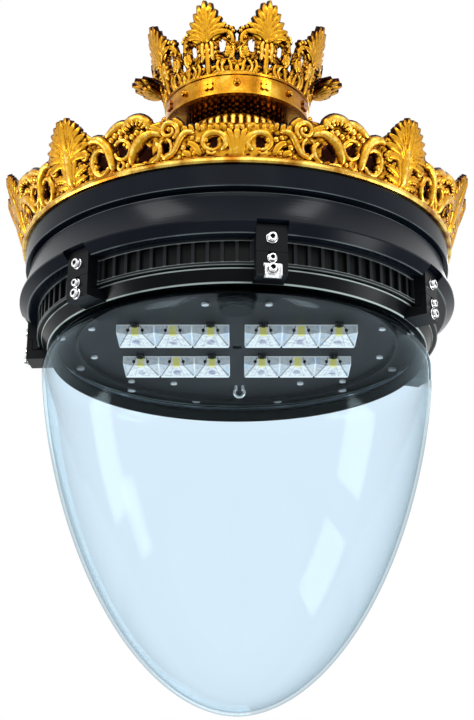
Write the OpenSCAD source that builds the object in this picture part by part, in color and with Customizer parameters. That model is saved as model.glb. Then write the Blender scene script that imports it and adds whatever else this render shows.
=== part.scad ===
// Pendant lantern: a round die-cast housing with two gilded crowns and a clear bowl
// that swings down on a hinge. Millimetres, +Z up, with the origin at the mouth of the
// pipe socket. Azimuth 0 is the front (-Y), and it turns towards +X.

/* [Pipe socket] */
// Height of the pipe socket above the roof's top land
socket_h = 136; // [128:1:160]
// Bore of the pipe socket, for a 60 mm pipe
socket_bore = 60.8; // [58:0.1:64]
// Depth of the bore before the pipe meets its stop
socket_depth = 90; // [70:1:100]
// Wall of the pipe socket
socket_wall = 7.6; // [6:0.1:9]
// Thickness of the socket's floor and flange
flange_t = 9; // [7:0.5:12]
// How far the flange stands out of the socket wall
flange_out = 18; // [16:0.5:20]
// Thread diameter of the set screws that grip the pipe
set_screw_d = 8; // [6:1:10]

/* [Small crown] */
// Radius of the small crown's plain band
small_r = 90; // [86:1:100]
// Height of the small crown's plain band
small_band_h = 29; // [24:1:34]
// Top of the band below the socket's mouth
small_top = 65; // [60:1:72]
// Height of the tall leaves above the band
small_leaf_h = 98; // [80:1:105]
// Number of tall leaves
small_leaves = 8; // [6:1:10]
// Thickness of the cast leaves
small_t = 5; // [4:0.5:7]
// Outward lean of the tall leaves, in degrees
small_lean = 10; // [4:1:14]

/* [Neck] */
// Radius over the neck's lower tier of flutes
neck_r = 68; // [66:1:74]
// Number of flutes
flutes = 44; // [36:2:52]

/* [Roof] */
// Height of the roof casting
roof_h = 141; // [120:1:160]
// How far the roof's foot lies inside the upper band
roof_step = 14; // [13:0.5:18]
// Radius of the flat land at the roof's top
land_r = 72; // [70:1:78]
// Wall of the roof casting
roof_t = 4; // [3:0.5:6]

/* [Large crown] */
// Height of the gilded foot moulding
foot_h = 9; // [7:1:12]
// Height of the palmettes above the foot
palmette_h = 79; // [65:1:85]
// Height of the scroll crests above the foot
scroll_h = 57; // [45:1:62]
// Height of the small fans above the foot
fan_h = 36; // [30:1:44]
// Thickness of the cast openwork
large_t = 5; // [4:0.5:7]
// Outward lean of the openwork, in degrees
large_lean = 15; // [6:1:16]
// Outward lean of the palmettes at the two sides, in degrees
side_lean = 24; // [16:1:26]

/* [Skirt] */
// Outer radius of the upper band
crest_r = 254; // [252:1:260]
// Height of the upper band
upper_h = 25; // [20:1:30]
// Height of the groove between the bands
groove_h = 5; // [3:0.5:8]
// Depth of the groove
groove_d = 6; // [3:0.5:8]
// Height of the lower band
lower_h = 36; // [30:1:44]
// How far the lower band flares out below the waist
flare = 10; // [4:1:14]
// Height of the turned-in lip
lip_h = 11; // [8:1:14]

/* [Finned band] */
// How far the fins lie inside the upper band
band_inset = 18; // [16:0.5:20]
// Height of the finned band
band_h = 30.5; // [28:0.5:36]
// Depth of the cells between the fins
fin_depth = 4.5; // [3:0.5:6]
// Number of fins
fins = 96; // [72:4:108]
// Width of a fin
fin_w = 3.6; // [2.5:0.1:5]
// Height of the rails above and below the cells
rail_h = 3.4; // [2.5:0.1:5]
// Wall of the finned band behind the cells
band_wall = 12.5; // [10:0.5:15]

/* [Globe frame] */
// Height of the ring that carries the globe
ring_h = 14.5; // [13:0.5:20]
// How much narrower the ring is at its lower edge
ring_taper = 8; // [5:0.5:9]
// Gap between the ring and the finned band, filled by the frame seal
seal_gap = 1; // [0.8:0.1:1.5]
// Azimuth of the front clamp, in degrees
front_az = 8.3; // [-10:0.1:20]
// Azimuth of the hinge at the back, in degrees
hinge_az = 183.2; // [180:0.1:190]
// Angle between neighbouring clamps, in degrees
clamp_step = 51.4; // [48:0.1:52]
// Width of a clamp's lug and strap
lug_w = 33; // [28:1:40]
// Travel of the frame on its hinge, in degrees
open_angle = 85; // [60:1:88]

/* [Globe] */
// How far the globe bulges out beyond the ring's lower edge
globe_out = 8.1; // [5:0.1:10]
// Depth of the globe below its ring
globe_depth = 414; // [360:1:450]
// Wall of the globe
globe_wall = 4; // [3:0.5:5]

/* [Light plate] */
// How far the light plate's edge lies inside the gear tray's
plate_inset = 28; // [25:1:32]
// Width of one lens cell
cell = 43; // [38:0.5:44]
// Cells in one lens module
cells = 3; // [2:1:3]
// Gap between the left and right modules
module_gap = 17.4; // [12:0.1:24]
// Distance between the front and rear rows of modules
row_pitch = 103; // [96:1:110]
// Depth of a lens cell
lens_h = 12; // [9:0.5:14]
// Diameter of the light sensor's head
sensor_d = 44; // [36:1:46]

/* [Fasteners] */
// Thread diameter of the lug and strap bolts
bolt_d = 6; // [5:0.5:7]
// Thread diameter of the clamp and tray screws
screw_d = 5; // [4:0.5:5.5]
// Diameter of the hinge pin
pin_d = 6; // [5:0.5:7]

/* [Hidden] */
$fn = 96;

// Clearances that every fit is made from
thread_fit = 0.05;
pin_fit = 0.05;
slide_fit = 0.5;
drop_in = 1;
soft_gap = 0.3;
part_gap = 0.6;

// Heights, from the socket's mouth down to the lower edge of the globe ring
z_land = -socket_h;
z_crest = z_land - roof_h;
skirt_h = upper_h + groove_h + lower_h + lip_h;
z_lip = z_crest - skirt_h;
z_band = z_lip - band_h;
z_ring = z_band - seal_gap - ring_h;
z_small_top = -small_top;
z_small = z_small_top - small_band_h;

// Radii of the stack
bore_r = socket_bore / 2;
tube_r = bore_r + socket_wall;
flange_r = tube_r + flange_out;
roof_r = crest_r - roof_step;
band_r = crest_r - band_inset;
waist_step = 6;
waist_r = crest_r - waist_step;
skirt_wall = 2.5;
inner_r = waist_r - groove_d - skirt_wall;
fin_root = band_r - fin_depth;
band_in = fin_root - band_wall;
tray_r = band_in - drop_in;
ring_top_r = fin_root - part_gap;
ring_low_r = ring_top_r - ring_taper;
ring_wall_r = ring_low_r - 1;
ledge_w = 6;
ledge_r = ring_wall_r - ledge_w;
globe_r = ring_low_r + globe_out;
plate_r = tray_r - plate_inset;
face_step = 0.4;
clamp_in = band_r + face_step;
fin_tip = band_r - face_step;
lug_out = 14;
lug_r = band_r + lug_out;
tongue_out = 7;
tongue_r = band_r + tongue_out;
axis_r = tongue_r;
axis_z = z_band + 0.5;
clamp_azs = [for (k = [-2 : 2]) front_az + k * clamp_step];

// Turns its children to an azimuth, where -Y is outward
module at_az(a) { rotate([0, 0, a]) children(); }

// A block that spans two radii in the direction -Y, a width across and two heights
module block(r1, r2, w, z1, z2) {
    translate([-w / 2, -r2, z1]) cube([w, r2 - r1, z2 - z1]);
}

// A cylinder along the outward direction -Y, from radius r1 to r2, at height z
module radial_rod(d, r1, r2, z, x = 0) {
    translate([x, -r1, z]) rotate([90, 0, 0]) cylinder(d = d, h = r2 - r1, $fn = 32);
}

// A hexagonal bar along the outward direction
module radial_hex(af, r1, r2, z, x = 0) {
    translate([x, -r1, z]) rotate([90, 0, 0])
        cylinder(d = af / cos(30), h = r2 - r1, $fn = 6);
}

// A pan head with its shank below it, standing on z = 0 and pointing down
module pan_screw(d, len) {
    cylinder(d = 2 * d, h = 0.55 * d, $fn = 32);
    translate([0, 0, -len]) cylinder(d = d - 2 * thread_fit, h = len + 0.1, $fn = 24);
}

// A ring of rectangular section
module flat_ring(r1, r2, z1, z2) {
    rotate_extrude() translate([r1, z1]) square([r2 - r1, z2 - z1]);
}

// SOCKET AND NECK

module pipe_socket() {
    color("#26272b") difference() {
        union() {
            translate([0, 0, z_land]) cylinder(r = tube_r, h = socket_h);
            translate([0, 0, z_land]) cylinder(r = flange_r, h = flange_t);
            for (a = set_azs) at_az(a)
                radial_rod(2.2 * set_screw_d, bore_r + 2, tube_r + 3, -set_z);
        }
        translate([0, 0, -socket_depth]) cylinder(r = bore_r, h = socket_depth + 1);
        translate([0, 0, z_land + flange_t])
            cylinder(r = bore_r - 7, h = socket_h - flange_t - socket_depth + 1);
        translate([0, 0, z_land - 1]) cylinder(r = gland_r + thread_fit, h = flange_t + 2);
        for (a = set_azs) at_az(a)
            radial_rod(set_screw_d + 2 * thread_fit, bore_r - 4, tube_r + 4, -set_z);
        for (k = [0 : 3]) rotate([0, 0, 45 + 90 * k]) translate([flange_bolt_r, 0, z_land - 1])
            cylinder(d = flange_bolt_d + 2 * thread_fit, h = flange_t + 2, $fn = 32);
    }
}
set_z = 26;
set_azs = [60, 180, 300];
gland_r = 12;
flange_bolt_d = 8;
flange_bolt_r = tube_r + flange_out / 2;

module set_screws() {
    color("#b9bcc2") for (a = set_azs) at_az(a) {
        radial_rod(set_screw_d, bore_r + 0.2, tube_r + 4, -set_z);
        radial_hex(1.6 * set_screw_d, tube_r + 3.2, tube_r + 3.2 + 0.6 * set_screw_d, -set_z);
    }
}

module flange_bolts() {
    color("#b9bcc2") for (k = [0 : 3]) rotate([0, 0, 45 + 90 * k])
        translate([flange_bolt_r, 0, z_land + flange_t]) {
            cylinder(d = 13 / cos(30), h = 5, $fn = 6);
            translate([0, 0, -flange_t - land_t])
                cylinder(d = flange_bolt_d, h = flange_t + land_t + 1, $fn = 32);
        }
}
land_t = 8;

module cable_gland() {
    color("#1c1d20") translate([0, 0, z_land]) difference() {
        union() {
            translate([0, 0, -16]) cylinder(r = gland_r, h = 16 + flange_t + 6);
            translate([0, 0, flange_t]) cylinder(d = 34, h = 5, $fn = 6);
            translate([0, 0, -6]) cylinder(d = 34, h = 6, $fn = 6);
            translate([0, 0, -26]) cylinder(r = 14, h = 18);
        }
        translate([0, 0, -27]) cylinder(r = 6.5, h = 50);
    }
}

module neck_collar() {
    tier_h = (z_small + 6 - z_land - 3) / 2;
    color("#d9a33a") difference() {
        union() {
            fluted(neck_r, z_land, tier_h);
            translate([0, 0, z_land + tier_h]) cylinder(r = neck_r - 1, h = 3);
            fluted(neck_r - 4, z_land + tier_h + 3, tier_h);
        }
        translate([0, 0, z_land - 1])
            cylinder(r = flange_r + part_gap, h = 2 * tier_h + 5);
    }
}

// A drum with round flutes cut up its wall
module fluted(r, z, h) {
    translate([0, 0, z]) linear_extrude(h) difference() {
        circle(r = r);
        for (k = [0 : flutes - 1]) rotate(360 / flutes * k) translate([r + 0.8, 0])
            circle(d = 2 * PI * r / flutes * 0.6, $fn = 16);
    }
}

// SMALL CROWN

module small_crown_band() {
    color("#e0ab3e") rotate_extrude() polygon([
        [tube_r + part_gap, z_small + 6], [small_r - 5, z_small + 6], [small_r - 5, z_small],
        [small_r + 1.5, z_small], [small_r + 1.5, z_small + 3], [small_r, z_small + 4],
        [small_r, z_small_top - 4], [small_r + 1.5, z_small_top - 3],
        [small_r + 1.5, z_small_top], [small_r - 5, z_small_top],
        [small_r - 5, z_small + 10], [tube_r + part_gap, z_small + 10]
    ]);
}

// Points of a leaf with pointed lobes: w wide, h high, n lobes, springing from height y0
function leaf(w, h, y0, n, cut = 0.8) = concat(
    [[-w * 0.22, 0]],
    [for (i = [0 : 2 * n]) let (a = -100 + 200 * i / (2 * n), s = i % 2 == 1 ? 1 : cut)
        [w / 2 * sin(a) * s, y0 + (h - y0) * cos(a) * s]],
    [[w * 0.22, 0]]);

// Stands a flat casting on a cone: its foot at radius r and height z, leaning outward
module stand(a, r, z, lean, t) {
    at_az(a) translate([0, -r, z + t * sin(lean)]) rotate([90 + lean, 0, 0])
        linear_extrude(t) children();
}

module small_crown_leaves() {
    step = 360 / small_leaves;
    w = 2 * PI * small_r / small_leaves;
    color("#d9a033") {
        flat_ring(small_r - 5, small_r, z_small_top, z_small_top + 5);
        for (k = [0 : small_leaves - 1])
            stand((k + 0.5) * step, small_r - small_t, z_small_top, small_lean, small_t) difference() {
                union() {
                    translate([-w / 2, 0]) square([w, 9]);
                    for (s = [-1, 1]) translate([s * w * 0.3, 0]) {
                        translate([0, small_leaf_h * 0.3]) circle(w * 0.14, $fn = 24);
                        translate([-w * 0.06, 0]) square([w * 0.12, small_leaf_h * 0.6]);
                        translate([0, small_leaf_h * 0.55]) circle(w * 0.17, $fn = 24);
                    }
                    translate([0, small_leaf_h * 0.36])
                        polygon(leaf(w * 0.86, small_leaf_h * 0.64, small_leaf_h * 0.16, 7));
                    translate([-w * 0.11, 0]) square([w * 0.22, small_leaf_h * 0.5]);
                    translate([-w / 2, small_leaf_h * 0.44]) square([w, small_leaf_h * 0.12]);
                }
                for (s = [-1, 1]) translate([s * w * 0.3, small_leaf_h * 0.3])
                    circle(w * 0.05, $fn = 16);
            }
        for (a = side_leaf_az) stand(a, small_r - small_t, z_small_top, side_leaf_lean, small_t)
            polygon(leaf(w * 0.6, side_leaf_len, side_leaf_len * 0.55, 7));
    }
}
side_leaf_az = [-90, 90];
side_leaf_lean = 50;
side_leaf_len = 62;

module small_crown_jewels() {
    z = (z_small + z_small_top) / 2;
    color("#c98d2c") for (k = [0 : small_leaves - 1]) {
        at_az(k * 360 / small_leaves) difference() {
            translate([0, -small_r - 1, z]) sphere(r = 4.6, $fn = 24);
            translate([0, 0, z - 10]) cylinder(r = small_r, h = 20);
        }
        at_az((k + 0.5) * 360 / small_leaves) difference() {
            for (x = [-3, 3]) for (y = [-3, 3])
                radial_rod(6.5, small_r - 2, small_r + 2.5, z + y, x);
            translate([0, 0, z - 10]) cylinder(r = small_r, h = 20);
        }
    }
}

// ROOF

// Radius of the roof's outside at a share t of its height: an ogee
function ogee(t) = land_r + (roof_r - land_r) * (1 + cos(180 * pow(t, 0.8))) / 2;

module roof() {
    steps = 24;
    outer = [for (i = [0 : steps]) [ogee(i / steps), z_crest + roof_h * i / steps]];
    inner = [for (i = [steps : -1 : 0]) let (t = i / steps)
        [ogee(t) - roof_t, min(z_crest + roof_h * t, z_land - land_t)]];
    color("#1f2024") difference() {
        rotate_extrude() polygon(concat(outer, [[gland_hole, z_land], [gland_hole, z_land - land_t]],
            [for (p = inner) if (p[1] > z_crest + 6) p],
            [[roof_r - roof_t, z_crest + 6], [roof_in, z_crest + 6], [roof_in, z_crest]]));
        for (k = [0 : 3]) rotate([0, 0, 45 + 90 * k]) translate([flange_bolt_r, 0, z_land - 20])
            cylinder(d = flange_bolt_d + 2 * thread_fit, h = 40, $fn = 32);
        for (k = [0 : 7]) rotate([0, 0, 22.5 + 45 * k]) translate([roof_screw_r, 0, z_crest - 1])
            cylinder(d = screw_d, h = 6, $fn = 24);
    }
}
gland_hole = 25;
roof_in = roof_r - 18;
roof_screw_r = roof_in + 6;
top_flange_t = 6;

module roof_seal() {
    color("#101012") flat_ring(roof_r - 6, roof_r - 3, z_crest - 2.5, z_crest);
}

module roof_screws() {
    color("#b9bcc2") for (k = [0 : 7]) rotate([0, 0, 22.5 + 45 * k])
        translate([roof_screw_r, 0, z_crest - top_flange_t]) rotate([180, 0, 0])
            pan_screw(screw_d, top_flange_t + 4.5);
}

// LARGE CROWN

module crown_foot() {
    color("#e0ab3e") difference() {
        rotate_extrude() polygon([
            [roof_r + drop_in, z_crest], [crest_r + 3, z_crest], [crest_r + 4.5, z_crest + 2],
            [crest_r + 4.5, z_crest + foot_h - 4], [crest_r + 3, z_crest + foot_h - 1.5],
            [crest_r + 1, z_crest + foot_h], [roof_r + drop_in, z_crest + foot_h]
        ]);
        for (k = [0 : 7]) at_az(45 * k) translate([0, -crown_screw_r, z_crest - 1])
            cylinder(d = crown_screw_d + 2 * thread_fit, h = foot_h + 2, $fn = 24);
    }
}
crown_screw_d = 4;
crown_screw_r = roof_r + drop_in + 5;
gallery_r = crest_r - 2;

module crown_gallery() {
    w = 2 * (gallery_r + large_t) * tan(11.25);
    z = z_crest + foot_h;
    color("#d9a033") {
        flat_ring(gallery_r - 0.5, gallery_r + 2.5, z, z + 7);
        for (a = [0, 180]) stand(a, gallery_r, z, large_lean, large_t) fan_motif(w);
        for (a = [90, 270]) stand(a, gallery_r, z, side_lean, large_t) palmette_motif(w);
        for (k = [0 : 3]) {
            stand(90 * k + 45, gallery_r, z, large_lean, large_t) palmette_motif(w);
            for (s = [-1, 1]) stand(90 * k + s * 22.5, gallery_r, z, large_lean, large_t)
                flip(s) scroll_motif(w);
        }
    }
}

module flip(s) { if (s < 0) mirror([1, 0]) children(); else children(); }

module fan_motif(w) {
    difference() {
        union() {
            translate([-w / 2, 0]) square([w, 9]);
            polygon(leaf(w * 0.34, fan_h, fan_h * 0.3, 5));
            for (s = [-1, 1]) translate([s * w * 0.3, fan_h * 0.5]) circle(w * 0.16, $fn = 32);
        }
        for (s = [-1, 1]) translate([s * w * 0.3, fan_h * 0.5]) circle(w * 0.055, $fn = 24);
    }
}

module scroll_motif(w) {
    difference() {
        union() {
            translate([-w / 2, 0]) square([w, 9]);
            translate([-w * 0.2, scroll_h * 0.4]) circle(scroll_h * 0.39, $fn = 32);
            translate([w * 0.22, scroll_h * 0.33]) circle(scroll_h * 0.32, $fn = 32);
            translate([0, scroll_h * 0.2]) polygon(leaf(w * 0.62, scroll_h * 0.8, scroll_h * 0.3, 5));
        }
        translate([-w * 0.2, scroll_h * 0.36]) circle(w * 0.08, $fn = 24);
        translate([w * 0.22, scroll_h * 0.33]) circle(w * 0.07, $fn = 24);
    }
}

module palmette_motif(w) {
    difference() {
        union() {
            translate([-w / 2, 0]) square([w, 9]);
            translate([-w * 0.42, 0]) square([w * 0.84, palmette_h * 0.42]);
            translate([0, palmette_h * 0.2])
                polygon(leaf(w * 0.86, palmette_h * 0.8, palmette_h * 0.2, 7));
        }
        for (s = [-1, 1]) translate([s * w * 0.26, palmette_h * 0.22]) circle(w * 0.06, $fn = 24);
    }
}

module crown_screws() {
    color("#b9bcc2") for (k = [0 : 7]) at_az(45 * k)
        translate([0, -crown_screw_r, z_crest + foot_h]) pan_screw(crown_screw_d, foot_h + 4);
}

// SKIRT AND FINNED BAND

module skirt() {
    z_up = z_crest - upper_h;
    z_low = z_up - groove_h;
    z_flare = z_lip + lip_h;
    steps = 8;
    color("#232429") difference() {
        rotate_extrude() polygon(concat(
            [[roof_in, z_crest], [roof_in, z_crest - top_flange_t], [inner_r, z_crest - top_flange_t],
             [inner_r, z_lip + lip_h + 8], [inner_r - 4, z_lip + 7], [band_in + 1, z_lip + 7],
             [band_in + 1, z_lip], [waist_r, z_lip], [waist_r + flare, z_flare - 2]],
            [for (i = [0 : steps]) let (t = i / steps)
                [waist_r + flare * pow(1 - t, 1.6), z_flare + (z_low - z_flare) * t]],
            [[waist_r - groove_d, z_low], [waist_r - groove_d, z_up], [crest_r - 1, z_up],
             [crest_r - 1, z_up + 2], [crest_r, z_crest - 1], [crest_r - 1, z_crest]]));
        flat_ring(roof_r - 6, roof_r - 3, z_crest - 2.5, z_crest + 1);
        for (a = concat(clamp_azs, [hinge_az])) at_az(a)
            block(lug_pocket_r, waist_r + flare + 5, lug_w + 1, z_lip - 1, z_lip + lip_h + 1);
        for (k = [0 : 7]) {
            rotate([0, 0, 22.5 + 45 * k]) translate([roof_screw_r, 0, z_crest - 9])
                cylinder(d = screw_d + 1, h = 12, $fn = 24);
            at_az(45 * k) translate([0, -crown_screw_r, z_crest - 5])
                cylinder(d = crown_screw_d, h = 6, $fn = 24);
            rotate([0, 0, 45 * k + skirt_screw_turn]) translate([skirt_screw_r, 0, z_lip - 1])
                cylinder(d = screw_d + 1, h = 12, $fn = 24);
        }
    }
}
lug_pocket_r = tongue_r + 2;
skirt_screw_r = band_in + band_wall / 2;
skirt_screw_turn = 30;

module skirt_screws() {
    color("#b9bcc2") for (k = [0 : 7]) rotate([0, 0, 45 * k + skirt_screw_turn])
        translate([skirt_screw_r, 0, z_lip + 7]) pan_screw(screw_d, 17);
}

module finned_band() {
    pitch = 360 / fins;
    half = asin(fin_w / 2 / fin_tip);
    color("#1e1f23") difference() {
        union() {
            flat_ring(band_in, fin_root, z_band, z_lip);
            flat_ring(fin_root - 2, band_r, z_band, z_band + rail_h);
            flat_ring(fin_root - 2, band_r, z_lip - rail_h, z_lip);
            translate([0, 0, z_band + 1]) linear_extrude(band_h - 2) difference() {
                polygon([for (k = [0 : fins - 1]) each [
                    for (q = [[fin_root - 1, -pitch / 2], [fin_root - 1, -half], [fin_tip, -half],
                              [fin_tip, half], [fin_root - 1, half]])
                        let (a = k * pitch + q[1]) q[0] * [cos(a), sin(a)]]]);
                circle(r = fin_root - 3);
            }
            for (a = concat(clamp_azs, [hinge_az])) at_az(a)
                block(fin_root - 4, clamp_in, lug_w + 4, z_band, z_lip);
            flat_ring(ledge_in, band_in + 1, z_band + tray_t, z_band + tray_t + ledge_t);
        }
        for (a = clamp_azs) at_az(a) {
            radial_rod(bolt_d + 2 * thread_fit, band_in + 2, band_r + 1, lug_bolt_z);
            radial_rod(screw_d + 2 * thread_fit, band_r - 8, band_r + 1, clamp_z);
        }
        at_az(hinge_az) for (x = [-10, 10])
            radial_rod(bolt_d + 2 * thread_fit, band_in + 2, band_r + 1, lug_bolt_z, x);
        for (k = [0 : 7]) rotate([0, 0, 45 * k + skirt_screw_turn]) translate([skirt_screw_r, 0, z_lip - 11])
            cylinder(d = screw_d, h = 12, $fn = 24);
        for (a = tray_screw_azs) at_az(a) translate([0, -tray_screw_r, z_band])
            cylinder(d = screw_d, h = 30, $fn = 24);
    }
}
tray_t = 3;
ledge_t = 5;
tray_ledge_w = 23;
ledge_in = band_in - tray_ledge_w;
tray_screw_r = band_in - tray_ledge_w / 2;
tray_screw_azs = [-139, -111, -82, -52, -20, 10.5, 43, 77, 112, 139, 165, -165];
lug_bolt_drop = 6;
lug_bolt_z = z_lip - lug_bolt_drop;
clamp_z = z_band + 1.5;
tongue_h = 9.5;
lug_low = z_band + tongue_h;
strap_gap = 3.5;

module clamp_lugs() {
    color("#232429") for (a = clamp_azs) at_az(a) difference() {
        union() {
            block(clamp_in, lug_r, lug_w, lug_low, z_lip);
            block(lug_pocket_r + part_gap, lug_r, lug_w, z_lip - 0.1, z_lip + lip_h - 1);
            block(clamp_in, tongue_r, lug_w, z_band - strap_gap, lug_low + 0.1);
        }
        radial_rod(bolt_d + 0.4, clamp_in - 1, lug_r + 3, lug_bolt_z);
        radial_rod(screw_d + 2 * thread_fit, clamp_in - 1, tongue_r + 1, clamp_z);
    }
}

module lug_bolts() {
    color("#c9ccd2") for (a = clamp_azs) at_az(a)
        socket_bolt(bolt_d, band_in + 5, lug_r, lug_bolt_z);
}

// A socket-head bolt along the outward direction: tip at r1, head seated at r2
module socket_bolt(d, r1, r2, z, x = 0) {
    difference() {
        union() {
            radial_rod(d, r1, r2 + 1, z, x);
            radial_rod(2.1 * d, r2, r2 + 1.2, z, x);
            radial_rod(1.65 * d, r2 + 1, r2 + 1.2 + 0.75 * d, z, x);
        }
        radial_hex(0.8 * d, r2 + 2.2, r2 + 2.2 + d, z, x);
    }
}

module clamp_screws() {
    color("#c9ccd2") for (a = clamp_azs) at_az(a)
        socket_bolt(screw_d, band_r - 6, lug_r + soft_gap, clamp_z);
}

// HINGE

module hinge_fixed_leaf() {
    color("#232429") at_az(hinge_az) difference() {
        union() {
            block(clamp_in, lug_r, lug_w, axis_z + knuckle_r + 0.8, z_lip);
            block(lug_pocket_r + part_gap, lug_r, lug_w, z_lip - 0.1, z_lip + lip_h - 1);
            for (s = [-1, 1]) translate([s * (lug_w / 2 + knuckle_w / 2 + slide_fit / 2) / 2, 0, 0]) {
                w = lug_w / 2 - knuckle_w / 2 - slide_fit / 2;
                translate([-w / 2, -axis_r, axis_z]) rotate([0, 90, 0])
                    cylinder(r = knuckle_r, h = w, $fn = 48);
                block(axis_r - knuckle_r, axis_r + knuckle_r, w, axis_z, axis_z + knuckle_r + 1);
            }
        }
        translate([-lug_w, -axis_r, axis_z]) rotate([0, 90, 0])
            cylinder(d = pin_d, h = 2 * lug_w, $fn = 48);
        for (x = [-10, 10]) radial_rod(bolt_d + 0.4, clamp_in - 1, lug_r + 3, lug_bolt_z, x);
    }
}
knuckle_r = 6;
knuckle_w = 15;

module hinge_bolts() {
    color("#c9ccd2") at_az(hinge_az) for (x = [-10, 10])
        socket_bolt(bolt_d, band_in + 5, lug_r, lug_bolt_z, x);
}

module hinge_pin() {
    color("#d0d3d8") at_az(hinge_az) {
        translate([-lug_w / 2 - 2, -axis_r, axis_z]) rotate([0, 90, 0])
            cylinder(d = pin_d, h = lug_w + 4, $fn = 48);
        for (x = [-lug_w / 2 - 2.5, lug_w / 2]) translate([x, -axis_r, axis_z]) rotate([0, 90, 0])
            cylinder(d = pin_d + 4, h = 2.5, $fn = 48);
    }
}

module hinge_moving_leaf() {
    color("#232429") at_az(hinge_az) difference() {
        union() {
            translate([-knuckle_w / 2, -axis_r, axis_z]) rotate([0, 90, 0])
                cylinder(r = knuckle_r - 0.3, h = knuckle_w, $fn = 48);
            block(ring_low_r - 2, axis_r, knuckle_w, axis_z - knuckle_r + 0.3, z_ring + ring_h);
            block(ring_low_r - 2, axis_r - 3, lug_w, z_ring + 1, axis_z - knuckle_r - 0.8);
        }
        ring_outside();
        translate([-lug_w, -axis_r, axis_z]) rotate([0, 90, 0])
            cylinder(d = pin_d + 2 * pin_fit, h = 2 * lug_w, $fn = 48);
        for (x = [-10, 10]) radial_rod(screw_d, ring_low_r - 3, axis_r, leaf_screw_z, x);
    }
}

// GLOBE FRAME

module ring_outside() {
    translate([0, 0, z_ring]) cylinder(r1 = ring_low_r, r2 = ring_top_r, h = ring_h);
}

module globe_ring() {
    color("#1e1f23") difference() {
        ring_outside();
        translate([0, 0, z_ring - 1]) cylinder(r = ledge_r, h = ring_h + 2);
        translate([0, 0, z_ring + 3]) cylinder(r = ring_wall_r, h = ring_h);
        flat_ring(ring_wall_r - 1, ring_wall_r + 1.5, z_snap, z_snap + 2);
        for (a = clamp_azs) at_az(a) radial_rod(bolt_d, ring_wall_r - 5, ring_top_r + 5, strap_z);
        at_az(hinge_az) for (x = [-10, 10])
            radial_rod(screw_d, ring_wall_r - 5, ring_top_r + 5, leaf_screw_z, x);
    }
}
seat_t = 1;
globe_rim_t = 4;
z_snap = z_ring + 3 + seat_t + globe_rim_t;
strap_z = z_ring + 4.9;
leaf_screw_z = z_ring + 4.2;

module globe_seat_seal() {
    color("#2c2d30") flat_ring(ledge_r + 0.5, ring_wall_r - 0.5, z_ring + 3, z_ring + 3 + seat_t);
}

module frame_seal() {
    color("#101012") flat_ring(ring_wall_r + 2, ring_top_r - 1.5, z_ring + ring_h,
        z_ring + ring_h + seal_gap - soft_gap);
}

module globe_snap_ring() {
    color("#8c8f94") difference() {
        flat_ring(ledge_r + 1, ring_wall_r + 1.2, z_snap, z_snap + 2);
        at_az(hinge_az + 90) block(ledge_r - 5, ring_wall_r + 5, 12, z_snap - 1, z_snap + 3);
    }
}

// Radius of the globe's outside at a depth d under the ring
function belly(d, r, depth) = r * pow(max(0, 1 - pow(d / depth, globe_p)), 1 / globe_q);
function tuck(d, r, neck) = d < shoulder ? (r - neck) * pow(1 - d / shoulder, 2) : 0;
function globe_wall_r(d, r, neck, depth) = belly(d, r, depth) - tuck(d, r, neck);
globe_p = 1.741;
globe_q = 1.911;
shoulder = 28;

module globe() {
    neck = ledge_r - slide_fit;
    steps = 36;
    outer = [for (i = [0 : steps]) let (d = globe_depth * sin(90 * i / steps))
        [i == steps ? 0 : globe_wall_r(d, globe_r, neck, globe_depth), z_ring - d]];
    deep = globe_depth - globe_wall;
    inner = [for (i = [steps : -1 : 0]) let (d = deep * sin(90 * i / steps))
        [i == steps ? 0 : globe_wall_r(d, globe_r - globe_wall, neck - globe_wall, deep), z_ring - d]];
    z_rim = z_ring + 3 + seat_t;
    color([0.8, 0.9, 0.95, 0.35]) rotate_extrude() polygon(concat(
        [[neck - globe_wall, z_rim + globe_rim_t], [ring_wall_r - part_gap, z_rim + globe_rim_t],
         [ring_wall_r - part_gap, z_rim], [neck, z_rim]],
        outer, inner));
}

module ring_straps() {
    color("#232429") for (a = clamp_azs) at_az(a) difference() {
        union() {
            block(ring_low_r - 2, lug_r, lug_w, z_ring, z_band - strap_gap - drop_in);
            block(tongue_r + slide_fit, lug_r, lug_w, z_ring, lug_low - slide_fit);
        }
        ring_outside();
        radial_rod(slot_w, tongue_r, lug_r + 1, clamp_z);
        block(tongue_r, lug_r + 1, slot_w, clamp_z, lug_low + 1);
        radial_rod(bolt_d + 0.4, ring_low_r - 3, lug_r + 1, strap_z);
    }
}
slot_w = screw_d + 2;

module strap_bolts() {
    color("#c9ccd2") {
        for (a = clamp_azs) at_az(a)
            socket_bolt(bolt_d - 2 * thread_fit, ring_wall_r + part_gap,
                lug_r + (a == front_az ? tab_t : 0), strap_z);
        at_az(hinge_az) for (x = [-10, 10])
            socket_bolt(screw_d - 2 * thread_fit, ring_wall_r + part_gap, axis_r - 3, leaf_screw_z, x);
    }
}
tab_t = 1.5;

module lock_tab() {
    color("#d8dade") at_az(front_az) difference() {
        union() {
            block(lug_r, lug_r + tab_t, 18, z_ring - 5, z_ring + 11);
            for (x = [-9, 9 - tab_t]) translate([x, -lug_r - 9, z_ring - 5]) cube([tab_t, 9, 12]);
        }
        radial_rod(bolt_d + 0.4, lug_r - 1, lug_r + 4, strap_z);
    }
}

// LIGHT PLATE

z_plate = z_band - 2;

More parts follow.
